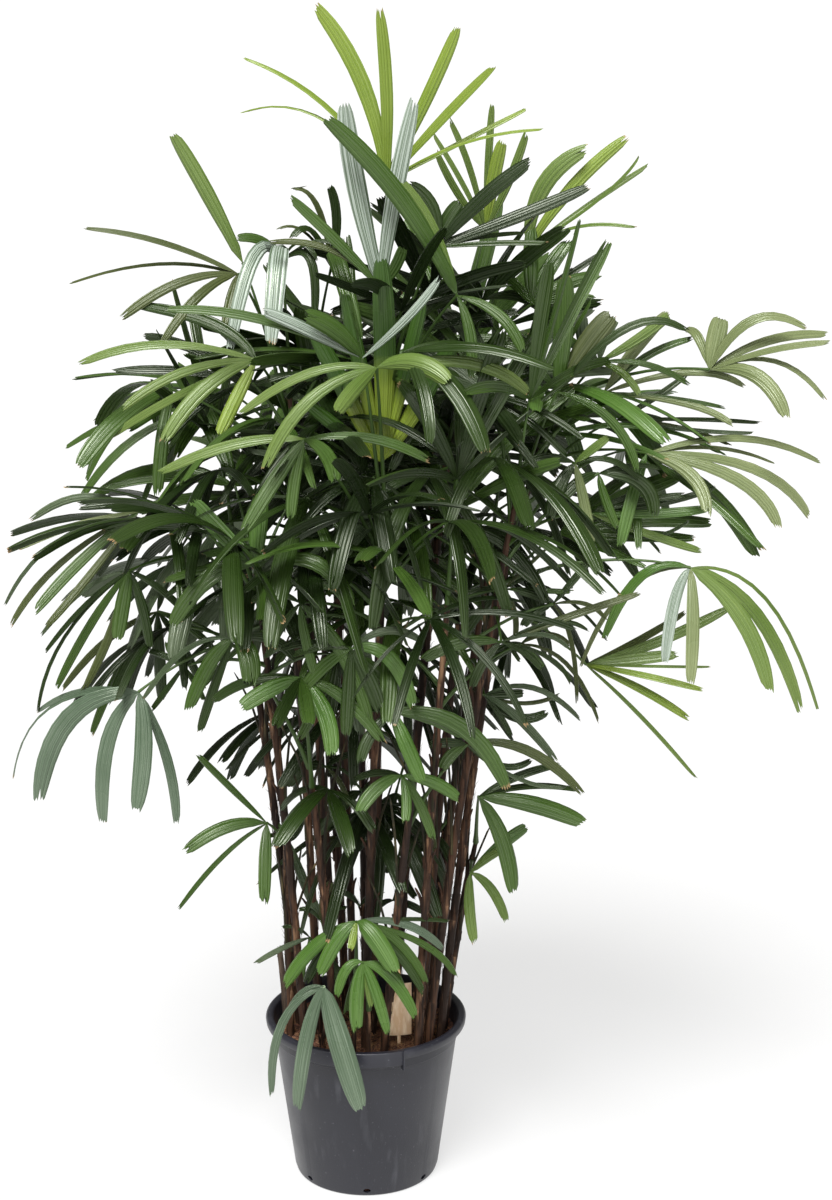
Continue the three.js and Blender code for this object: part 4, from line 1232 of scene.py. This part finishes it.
def sheathed_stem(line, length, radius_at, span, key):
    """A stem wrapped in sheaths between two shares of its length: points, faces, coordinates."""
    start, end = span
    rings = []
    for sheath in range(int(start * length / SHEATH), int(end * length / SHEATH) + 1):
        for phase in RING_PHASES:
            share = (sheath + phase) * SHEATH / length
            if start < share < end:
                rings.append((share, sheath, phase))
    rings = [(start, rings[0][1], rings[0][2]), *rings, (end, rings[-1][1], rings[-1][2])]
    path = bow(*line, [share for share, _, _ in rings])
    angles = np.arange(CANE_SIDES) / CANE_SIDES * 2 * math.pi
    radii, tilts = [], []
    for share, sheath, phase in rings:
        fat = 1 + wobble(SHEATH_SWELL, key, sheath)
        flare = -0.02 + 0.07 * phase ** 3
        turn = sheath * SHEATH_TURN
        lumps = 0.04 * np.sin(angles * 2 + key + turn) + 0.02 * np.sin(angles * 5 + sheath * 1.3)
        radii.append(radius_at(share) * fat * (1 + flare + lumps * (0.4 + phase)))
        tilts.append(SHEATH_TILT * phase * np.cos(angles - turn))
    points, faces = tube(path, radii, CANE_SIDES)
    along = frames_along(path)[0]
    tilts = np.array(tilts)
    tilts[0] = tilts[-1] = 0
    points = points.reshape(len(rings), CANE_SIDES, 3) + along[:, None] * tilts[:, :, None]
    heights = np.repeat([share * length / SHEATH for share, _, _ in rings], CANE_SIDES)
    coordinates = np.stack([np.tile(angles / 2 / math.pi, len(rings)), heights], 1)
    return points.reshape(-1, 3) * MM, faces, coordinates


def frayed_fibres(heap, line, length, radius_at, span, key, wanted):
    """Loose fibres that cling to a stem and stand off it at their tips."""
    rays = np.random.default_rng(key)
    for share in rays.uniform(*span, wanted):
        reach = rays.uniform(*FRAY_REACHES) / length
        shares = np.clip(share + np.linspace(0, reach, 4), 0, 1)
        path = bow(*line, shares)
        angle = rays.uniform(0, 2 * math.pi) + np.linspace(0, rays.uniform(-1.6, 1.6), 4)
        _, first, second = frames_along(path)
        lift = radius_at(share) * 1.08 + np.array([0, 0.4, 1.2, rays.uniform(*FRAY_LIFTS)])
        outward = first * np.cos(angle)[:, None] + second * np.sin(angle)[:, None]
        points, faces = tube(path + outward * lift[:, None], FRAY_RADII, 3)
        heap.add(points * MM, faces)


def old_stalks(heap, line, radius_at, span, reaches, radii, key, wanted):
    """What is left of old leaf stalks, which rise from the stem at a narrow angle and end torn."""
    rays = np.random.default_rng(key)
    for share in rays.uniform(*span, wanted):
        out, up = heading(rays.uniform(0, 360), 0), np.array([0, 0, 1.0])
        reach = rays.uniform(*reaches)
        lean = rays.uniform(*OLD_STALK_LEANS)
        base = bow(*line, [share])[0] + out * radius_at(share) * 0.8
        path = [base + (up + out * lean * t) * reach * t for t in OLD_STALK_SHAPE]
        points, faces = tube(path, np.array(radii) * min(1, radius_at(share) / CANE_RADII[1]), 6)
        heap.add(points * MM, faces)


cane_nodes = [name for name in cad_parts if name.startswith("cane_")]
frond_nodes = [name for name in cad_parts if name.startswith(("fronds_", "sucker_"))]
bark = woven_bark("woven_sheath", BARK_DARK, BARK_BROWN, BARK_PALE, 0.65)
husk = woven_bark("torn_husk", BARK_DARK, BARK_BROWN, BARK_PALE, 0.8)
straw = woven_bark("dry_stalk", STRAW_DARK, STRAW, STRAW_PALE, 0.6)

cane_heap = Heap("cane_sheaths", bark, "cane", cane_nodes)
head_heap = Heap("head_stems", bark, "cane", frond_nodes)
husk_heap = Heap("sheath_fibres", husk, "cane")
stub_heap = Heap("stalk_stubs", husk, "cane")
straw_heap = Heap("old_stalks", straw, "cane")
for cane in canes:
    line, length, key = cane["line"], cane["length"], cane["index"]
    radius_at = partial(cane_radius, cane)
    foot = (FOOT_DEPTH - 3) / length
    stem = (foot, min(CANE_END, cane["bare"]))
    cane_heap.add(*sheathed_stem(line, length, radius_at, stem, key))
    if cane["fronds"]:
        head = (cane["bare"], CANE_END)
        head_heap.add(*sheathed_stem(line, length, radius_at, head, key))
    grade = max(0.0, (length - GRADED_LENGTHS[0]) / (GRADED_LENGTHS[1] - GRADED_LENGTHS[0]))
    top = cane["bare"] * 0.97
    frayed_fibres(husk_heap, line, length, radius_at, (0.01, top), key, int(70 * grade) + 12)
    kind = (STUB_LENGTHS, STUB_RADII)
    old_stalks(stub_heap, line, radius_at, (0.04, top), *kind, key + 500, int(9 * grade) + 1)
    if grade:
        kind = (OLD_STALK_LENGTHS, OLD_STALK_RADII)
        old_stalks(straw_heap, line, radius_at, OLD_STALK_SPAN, *kind, key + 700, 3)
for heap in (cane_heap, head_heap, husk_heap, stub_heap, straw_heap):
    heap.make()

# ---------------------------------------------------------------- dead stub
# A dead sucker at the left of the clump: a bare grey-brown stick, weathered and snapped off.

DEAD_FOOT, DEAD_TIP = (-140, 42), (-152, 50, 390)
DEAD_RADII = (6.65, 5.225)
DEAD_DARK = (0.05, 0.035, 0.026)
DEAD_BROWN = (0.15, 0.105, 0.075)
DEAD_PALE = (0.30, 0.22, 0.165)
SPLINTERS = 5
SPLINTER_RADII = (1.6, 1.3, 0.2)

dead_line = cane_line(DEAD_FOOT, DEAD_TIP)
dead_length = float(np.linalg.norm(dead_line[2] - dead_line[0]))
weathered = woven_bark("weathered_stick", DEAD_DARK, DEAD_BROWN, DEAD_PALE, 0.9)
dead_heap = Heap("dead_stick", weathered, "cane", ["dead_stub"])
dead_heap.add(*sheathed_stem(dead_line, dead_length, partial(mix, DEAD_RADII), (0.02, 0.985), 77))
for i in range(SPLINTERS):
    angle = i * 1.257
    tip = dead_line[2] + np.array([math.cos(angle), math.sin(angle), 0]) * 3.2
    splinter = [tip - (0, 0, 14), tip, tip + (0, 0, 3 + 9 * chance(i, 4))]
    points, faces = tube(splinter, SPLINTER_RADII, 4)
    dead_heap.add(points * MM, faces)
dead_heap.make()

# ---------------------------------------------------------------- fronds
# A frond is a thin green stalk and a fan of pleated segments, cut nearly to the hub, that arch
# under their own weight. A segment keeps its width almost to its blunt, ragged tip, which browns.

WEB = 24
WEB_SHARE = 0.15
FAN_WIDTH = 42
FAN_WIDTHS = (0.62, 1.0)
NARROWING = 0.35
SHORTENING = 0.22
ARC_STEPS = 20
STALK_STEPS = 11
STALK_SIDES = 8
STALK_RADII = ((0, 0.12, 0.9, 1), (5.5, 3.6, 1.9, 2.8))
TURNS_ASIDE = (0, 12, -12, 24, -24, 36, -36, 50, -50, 64, -64)
HUB_ROOM = 34
STALK_ROOM = 19
STALK_HUMP = 0.16

# Across a segment: places from its right edge to its left, how the pleats rise there, and how far
# its ragged tip is torn back.
COLUMNS = np.linspace(-1, 1, 9)
PLEATS = np.array([0.0, 1.0, 0.1, 1.1, 0.2, 1.1, 0.1, 1.0, 0.0])
TEETH = np.array([0.9, 0, 0.9, 0.1, 1.1, 0.1, 0.9, 0, 0.9])
TOOTH = 5.0
SPLIT = 16
SPLIT_SHARE = 0.3
# Along a segment: the rows of its mesh, and its width at shares of its length, past the web.
ROWS = np.array([0.0, 0.05, 0.1, 0.15, 0.22, 0.3, 0.4, 0.5, 0.6, 0.7, 0.8, 0.87, 0.93, 0.97, 1.0])
WIDTHS = ((0.2, 0.72), (0.35, 0.92), (0.5, 1.0), (0.75, 1.0), (0.87, 0.88), (0.95, 0.72), (1.0, 0.56))
PLEATED_FROM = 0.2
BLADE_THICKNESS = 0.7
CUPS = (0.1, 0.5)
SWAY = 0.14
TWISTS = (30, 90)
BROWNINGS = (0.93, 1.0)

# The two greens of each tone: the deep ground, and the paler green of its veins, of its long streaks and
# of its outer half, where the streaks and the outer half are painted sheen.
TONES = {
    # The darkest tone is painted shade, for fronds that sit inside the crown.
    "shade": ((0.0064, 0.014, 0.0028), (0.0160, 0.029, 0.0070)),
    "dark": ((0.0110, 0.024, 0.0037), (0.0250, 0.046, 0.0090)),
    "mid": ((0.0245, 0.054, 0.0070), (0.0535, 0.094, 0.0205)),
    "light": ((0.063, 0.108, 0.019), (0.130, 0.180, 0.048)),
    "lime": ((0.105, 0.165, 0.016), (0.195, 0.250, 0.045)),
    "fresh": ((0.036, 0.086, 0.011), (0.078, 0.138, 0.032)),
    "pale": ((0.090, 0.118, 0.042), (0.200, 0.225, 0.110)),
    # This tone's nearly white streaks are painted reflection, a silvery sheen, over a deep green ground.
    "silver": ((0.030, 0.062, 0.020), (0.360, 0.410, 0.360)),
    "bluish": ((0.040, 0.066, 0.036), (0.125, 0.160, 0.115)),
    "grey": ((0.032, 0.054, 0.022), (0.096, 0.122, 0.070)),
    "olive": ((0.034, 0.047, 0.012), (0.074, 0.088, 0.030)),
    # This tone's fan has a yellow glow painted into the base of its segments: painted backlight, the
    # light that shines through them.
    "gold": ((0.017, 0.044, 0.005), (0.034, 0.076, 0.010)),
}
# The yellow of that painted backlight.
PAINTED_BACKLIGHT = (0.145, 0.200, 0.018)
LEAF_GLOSS = {"Specular_IOR_Level": 0.4, "Specular_Tint": (0.95, 1, 0.85, 1)}
DRY = (0.26, 0.17, 0.085)
# The tones that the rule deals out, and the lighter ones they turn to past the right side's edge, where
# the fans' greens are painted lighter as painted light.
USUAL_TONES = ("dark", "dark", "mid", "dark", "mid", "grey", "dark", "mid", "dark", "dark")
PAINTED_LIGHT_SIDE = 300
PAINTED_LIGHT_TONES = {"dark": "mid", "mid": "light", "grey": "pale"}


def vein_group():
    """Masks over a segment: its fine veins, long streaks of painted sheen, and how far along it a place
    is.
    """
    numbers = {"Veins": 9.0, "Low": 0.45, "High": 0.6}
    group, given = new_group("lengthwise_veins", numbers, [], ["Veins", "Streaks", "Along"])
    surface = add_node(group, "ShaderNodeUVMap", uv_map="surface").outputs["UV"]
    parts = add_node(group, "ShaderNodeSeparateXYZ", {0: surface}).outputs
    phase = worked_out(group, "MULTIPLY", parts["X"], given["Veins"])
    wave = worked_out(group, "SINE", worked_out(group, "MULTIPLY", phase, 2 * math.pi), 0)
    # Long streaks along the segment, for painted sheen.
    drawn = worked_out(group, "MULTIPLY", surface, (24, 0.7, 1), "VectorMath")
    place = add_node(group, "ShaderNodeTexCoord").outputs["Object"]
    moved = worked_out(group, "ADD", drawn, place, "VectorMath")
    cloud = add_node(group, "ShaderNodeTexNoise", {"Vector": moved, "Scale": 1.0, "Detail": 3.0})
    streaks = ranged(group, cloud.outputs["Fac"], 0, 1, given["Low"], given["High"])
    masks = {"Veins": ranged(group, wave, 0, 1, -1), "Streaks": streaks, "Along": parts["Y"]}
    add_node(group, "NodeGroupOutput", masks)
    return group


VEINS = vein_group()


def leaf_finish(tone, roughness=0.29):
    """A leathery ribbed leaf: cloudy between two greens, with painted sheen in long streaks and over its
    outer half, and dry at its tips.
    """
    deep, pale = TONES[tone]
    material, tree, shader = new_finish(f"leaf_{tone}", deep, roughness, **LEAF_GLOSS)
    masks = add_node(tree, "ShaderNodeGroup", node_tree=VEINS).outputs
    clouds = cloudy(tree, 9, high=0.7)
    body = mixed(tree, masks["Streaks"], deep, pale)
    # Leaves of every other tone have their streaks clouded over with the deep green; the silvery ones
    # keep their painted reflection whole.
    if tone != "silver":
        body = mixed(tree, clouds, deep, body)
    body = mixed(tree, ranged(tree, masks["Veins"], 0, 0.28), body, pale)
    # Paler over the outer half, towards the tip: painted sheen where the blade bends down.
    body = mixed(tree, ranged(tree, masks["Along"], 0, 0.4, 0.5), body, pale)
    # The backlit fan: painted light that shines through the base of its segments.
    if tone == "gold":
        body = mixed(tree, ranged(tree, masks["Along"], 0, 1, 0.5, 0.34), body, PAINTED_BACKLIGHT)
    frayed = worked_out(tree, "MULTIPLY", cloudy(tree, 220, detail=2), 0.02)
    reached = worked_out(tree, "ADD", masks["Along"], frayed)
    tips = ranged(tree, reached, 0, 1, 0.975, 0.992)
    tree.links.new(mixed(tree, tips, body, DRY), shader.inputs["Base Color"])
    tree.links.new(ranged(tree, clouds, roughness - 0.08, roughness + 0.1), shader.inputs["Roughness"])
    relief(tree, shader, masks["Veins"], depth=0.0006)
    return material


def turned(vector, axis, degrees):
    """A vector turned about an axis by the right-hand rule."""
    angle = math.radians(degrees)
    kept = axis * axis.dot(vector) * (1 - math.cos(angle))
    return vector * math.cos(angle) + np.cross(axis, vector) * math.sin(angle) + kept


# Between the fronds that reach the outside, the leafy canes bear smaller ones that stay inside, at half
# ranks, and four canes have a few old ones left further down. These inner and low fronds are painted
# darker, as painted shade. Fans on the right side are thin, and their greens are painted lighter there,
# as painted light.
INNER_REACH = 0.72
INNER_BLADE = 0.8
INNER_WIDTH = 0.75
LEAFY = (0, 1, 2, 4, 5, 7, 8, 9, 10)
SUNNY_WIDTH = 0.75
LOW_RANKS = {1: (13, 17), 8: (12, 15, 18), 9: (10, 14, 17), 10: (8, 11, 14.5)}


def frond_rule(cane, rank):
    """How the frond of a given rank on a cane grows, counted from the youngest."""
    age = min(1, rank / (cane["fronds"] - 1)) if cane["fronds"] > 1 else 0
    key = cane["index"] * 20 + rank
    rise = mix(RISE, age ** 0.8) + wobble(10, key, 1)
    rule = {
        "key": key,
        "rise": rise,
        "reach": mix(REACH, age) + wobble(50, key, 2),
        "aim": (cane["azimuth"] + TURN * rank, rise - mix(NOD, age), wobble(ROLL, key, 7)),
        "blade": mix(BLADE, age) + wobble(50, key, 3),
        "spread": mix(SPREAD, age) + wobble(20, key, 4),
        "segments": math.floor(mix(SEGMENTS, age) + wobble(1, key, 5) + 0.5),
        "droop": mix(DROOP, age) + wobble(0.3, key, 6),
        "tone": USUAL_TONES[int(chance(key, 8) * len(USUAL_TONES))],
        "width": FAN_WIDTH * mix(FAN_WIDTHS, chance(key, 9)),
        "hub": None,
        "own": None,
    }
    if rank % 1 or rank >= cane["fronds"]:
        # Inner and low fronds take the darkest tone, painted shade for the shade inside the crown.
        rule["tone"] = "shade"
        rule["reach"] *= INNER_REACH
        rule["blade"] *= INNER_BLADE
        rule["width"] *= INNER_WIDTH
    place = cane["index"], rank
    if place in OUTLINE_FRONDS:
        names = ("hub", "aim", "blade", "spread", "segments", "droop", "tone")
        rule.update(zip(names, OUTLINE_FRONDS[place]))
    if place in OWN_FANS:
        rule["hub"], rule["tone"], rule["own"] = OWN_FANS[place]
    return rule


def stalk_of(cane, rank, rule):
    """The three points of a frond's stalk, turned aside until it passes clear of the other canes."""
    start = bow(*cane["line"], [1 - INTERNODE * rank / cane["length"]])[0]
    azimuth, elevation, roll = rule["aim"]

    def to_hub(hub):
        middle = (start + hub) / 2
        middle[2] += STALK_HUMP * np.linalg.norm(hub - start)
        return start, middle, hub

    if rule["hub"] is not None:
        return to_hub(np.array(rule["hub"], float))
    others = np.concatenate([other["points"] for other in canes if other is not cane])
    for aside in TURNS_ASIDE:
        stalk = to_hub(start + heading(azimuth + aside, rule["rise"]) * rule["reach"])
        points = bow(*stalk, np.linspace(0.25, 1, 7))
        gaps = np.linalg.norm(points[:, None] - others[None], axis=2)
        if gaps.min() > STALK_ROOM and gaps[-1].min() > HUB_ROOM:
            rule["aim"] = (azimuth + aside, elevation, roll)
            return stalk
    return to_hub(start + heading(azimuth, rule["rise"]) * rule["reach"])


def segment_arc(hub, direction, normal, length, droop):
    """Points, crosswise and upward directions along a segment that sinks under its own weight."""
    along, across, point = direction.copy(), np.cross(normal, direction), hub.copy()
    arc = [(point, across, np.cross(along, across))]
    for _ in range(ARC_STEPS):
        along = unit(along - np.array([0, 0, droop / ARC_STEPS]))
        across = unit(across - along * across.dot(along))
        point = point + along * length / ARC_STEPS
        arc.append((point, across, np.cross(along, across)))
    return [np.array(part) for part in zip(*arc)]


FRONT = np.array([0, -0.965, 0.263])


def drawn_arc(hub, tip, arch, face):
    """The same as segment_arc, for a blade whose tip, arch and face are given."""
    middle = (hub + tip) / 2 + 2 * np.array([arch[0], 0, arch[1]])
    points = bow(hub, middle, np.array(tip), np.linspace(0, 1, ARC_STEPS + 1))
    along = frames_along(points)[0]
    normal = np.array([0, 0, 1]) * (1 - face) + FRONT * face
    across = unit(np.cross(normal, along))
    return [points, across, np.cross(along, across)]


def at_rows(values, rows):
    """Values that are known at every arc step, taken at given shares of the arc."""
    steps = np.linspace(0, 1, len(values))
    return np.stack([np.interp(rows, steps, values[:, i]) for i in range(3)], 1)


def strip_faces(rows, columns):
    """Faces of a thin closed strip whose upper points come first, row by row, then the lower ones."""
    lower = rows * columns
    faces = []
    for i in range(rows - 1):
        for j in range(columns - 1):
            a, b = i * columns + j, (i + 1) * columns + j
            faces.append((a, b, b + 1, a + 1))
            faces.append((lower + a + 1, lower + b + 1, lower + b, lower + a))
    edge = [i * columns for i in range(rows)]
    edge += [(rows - 1) * columns + j for j in range(1, columns)]
    edge += [i * columns + columns - 1 for i in range(rows - 2, -1, -1)]
    edge += list(range(columns - 2, 0, -1))
    for a, b in zip(edge, edge[1:] + edge[:1]):
        faces.append((b, a, lower + a, lower + b))
    return faces


def blade(arc, between, length, width, freedom, key):
    """A segment's points and their surface coordinates, the upper ones first, row by row."""
    rows = ROWS[:, None] + np.zeros_like(COLUMNS)[None]
    ragged = np.array([chance(key, 30 + j) for j in range(len(COLUMNS))]) * TOOTH
    ragged += TOOTH * TEETH + wobble(9, key, 41) * COLUMNS
    if chance(key, 42) < SPLIT_SHARE:
        ragged[len(COLUMNS) // 2] += SPLIT
    rows[-1] -= ragged / length
    rows[-2] -= ragged / length * 0.6
    web_share = min(WEB / length, WEB_SHARE)
    shares = [0, web_share] + [share for share, _ in WIDTHS]
    web_half = min(WEB * math.tan(math.radians(between / 2)), width * 0.32)
    halves = [0.8, web_half] + [width / 2 * wide for _, wide in WIDTHS]
    half = np.interp(ROWS, shares, halves)
    twist = wobble(TWISTS[0], key, 47) + wobble(TWISTS[1], key, 43) * ROWS
    twist = np.radians(freedom * twist)[:, None]
    point, across, up = (at_rows(part, ROWS) for part in arc)
    crosswise = across * np.cos(twist) + up * np.sin(twist)
    upward = up * np.cos(twist) - across * np.sin(twist)
    along = np.cross(crosswise, upward)
    sway = across * (freedom * wobble(SWAY, key, 44) * length * ROWS ** 2)[:, None]
    spread = COLUMNS[None] * half[:, None]
    grown = np.clip(ROWS / PLEATED_FROM, 0, 1)[:, None]
    cup = mix(CUPS, chance(key, 45))
    lift = PLEATS[None] * grown - cup * half[:, None] * COLUMNS[None] ** 2
    shift = (rows - ROWS[:, None]) * length
    upper = (
        (point + sway)[:, None]
        + crosswise[:, None] * spread[..., None]
        + upward[:, None] * lift[..., None]
        + along[:, None] * shift[..., None]
    )
    lower = upper - upward[:, None] * BLADE_THICKNESS
    browning = mix(BROWNINGS, chance(key, 46))
    surface = np.stack([(COLUMNS[None] + 1) / 2 + rows * 0, rows * browning], 2)
    points = np.concatenate([upper.reshape(-1, 3), lower.reshape(-1, 3)]) * MM
    return points, np.concatenate([surface.reshape(-1, 2)] * 2)


# A segment of a rule's fan is nudged until it keeps its room from the points that are taken.
ROOM = 14
NEARBY = 420
NUDGES = [(turn, bend) for bend in (1, 0.75, 1.3, 0.5, 1.6) for turn in (0, 4, -4)]
OUTER_STEPS = slice(4, None, 2)
taken = [cane["points"] for cane in canes]


def roomiest(hub, tries):
    """The first way for a segment to lie that keeps its room from what has grown, or the best."""
    near = np.concatenate(taken)
    near = near[np.linalg.norm(near - hub, axis=1) < NEARBY]
    best, most = None, -1
    for arc in tries:
        points = arc[0][OUTER_STEPS]
        room = np.linalg.norm(points[:, None] - near[None], axis=2).min()
        if room > most:
            best, most = arc, room
        if room > ROOM:
            break
    return best


heaps = {
    tone: Heap(f"fans_{tone}", leaf_finish(tone), "leaf", frond_nodes, sharp=22) for tone in TONES
}
stalk_finish = leaf_finish("mid", 0.45)
stalk_finish.name = "leaf_stalk"
stalk_heap = Heap("leaf_stalks", stalk_finish, "leaf", frond_nodes)

STRIP_FACES = strip_faces(len(ROWS), len(COLUMNS))
# How freely the blades of a fan that is given twist and sway, and the angle between two of them.
OWN_FREEDOM = 0.3
OWN_BETWEEN = 50


def rule_blades(rule, hub):
    """The blades of a fan that grows by the rule: each one's arc, length, width and tone."""
    azimuth, elevation, roll = rule["aim"]
    forward = heading(azimuth, elevation)
    normal = turned(heading(azimuth, elevation + 90), forward, roll)
    sideways = np.cross(normal, forward)
    between = rule["spread"] / (rule["segments"] - 1)
    for i in range(rule["segments"]):
        own = rule["key"] * 10 + i
        angle = (i - (rule["segments"] - 1) / 2) * between + wobble(8, own, 51)
        outness = abs(angle) / (rule["spread"] / 2)
        length = rule["blade"] * (1 - SHORTENING * outness ** 2) * mix((0.88, 1.03), chance(own, 52))
        width = rule["width"] * (1 - NARROWING * min(1, outness) ** 2)
        droop = rule["droop"] * mix((0.7, 1.5), chance(own, 53))
        tries = []
        for turn, bend in NUDGES:
            a = math.radians(angle + turn)
            ray = unit(forward * math.cos(a) + sideways * math.sin(a) + normal * wobble(0.24, own, 54))
            tries.append(segment_arc(hub, ray, normal, length, droop * bend))
        yield roomiest(hub, tries), length, width, rule["tone"]


def own_blades(rule, hub):
    """The blades of a fan that are given one by one: each one's arc, length, width and tone."""
    for tip, arch, width, face, *tone in rule["own"]:
        arc = drawn_arc(hub, tip, arch, face)
        length = np.linalg.norm(np.diff(arc[0], axis=0), axis=1).sum()
        yield arc, length, width, tone[0] if tone else rule["tone"]


for cane in canes:
    ranks = list(range(cane["fronds"]))
    if cane["index"] in LEAFY:
        ranks += [rank + 0.5 for rank in ranks[1:-1]]
    ranks += LOW_RANKS.get(cane["index"], ())
    ranks += [rank for index, rank in OWN_FANS if index == cane["index"] and rank >= cane["fronds"]]
    for rank in ranks:
        rule = frond_rule(cane, rank)
        stalk = stalk_of(cane, rank, rule)
        hub = stalk[2]
        # Past the right side's edge a fan's green is painted lighter, as painted light, and its blades
        # are made thinner.
        if hub[0] > PAINTED_LIGHT_SIDE and rule["hub"] is None:
            rule["tone"] = PAINTED_LIGHT_TONES[rule["tone"]]
            rule["width"] *= SUNNY_WIDTH
        steps = np.linspace(0, 1, STALK_STEPS)
        path = bow(*stalk, steps)
        points, faces = tube(path, np.interp(steps, *STALK_RADII), STALK_SIDES)
        stalk_heap.add(points * MM, faces)
        taken.append(path[3:])
        if rule["own"]:
            blades, freedom, between = own_blades(rule, hub), OWN_FREEDOM, OWN_BETWEEN
        else:
            blades, freedom, between = rule_blades(rule, hub), 1, rule["spread"] / (rule["segments"] - 1)
        grown = []
        for i, (arc, length, width, tone) in enumerate(blades):
            grown.append(arc[0][OUTER_STEPS])
            points, coordinates = blade(arc, between, length, width, freedom, rule["key"] * 10 + i)
            heaps[tone].add(points, STRIP_FACES, coordinates)
        taken += grown
for heap in (stalk_heap, *heaps.values()):
    heap.make()
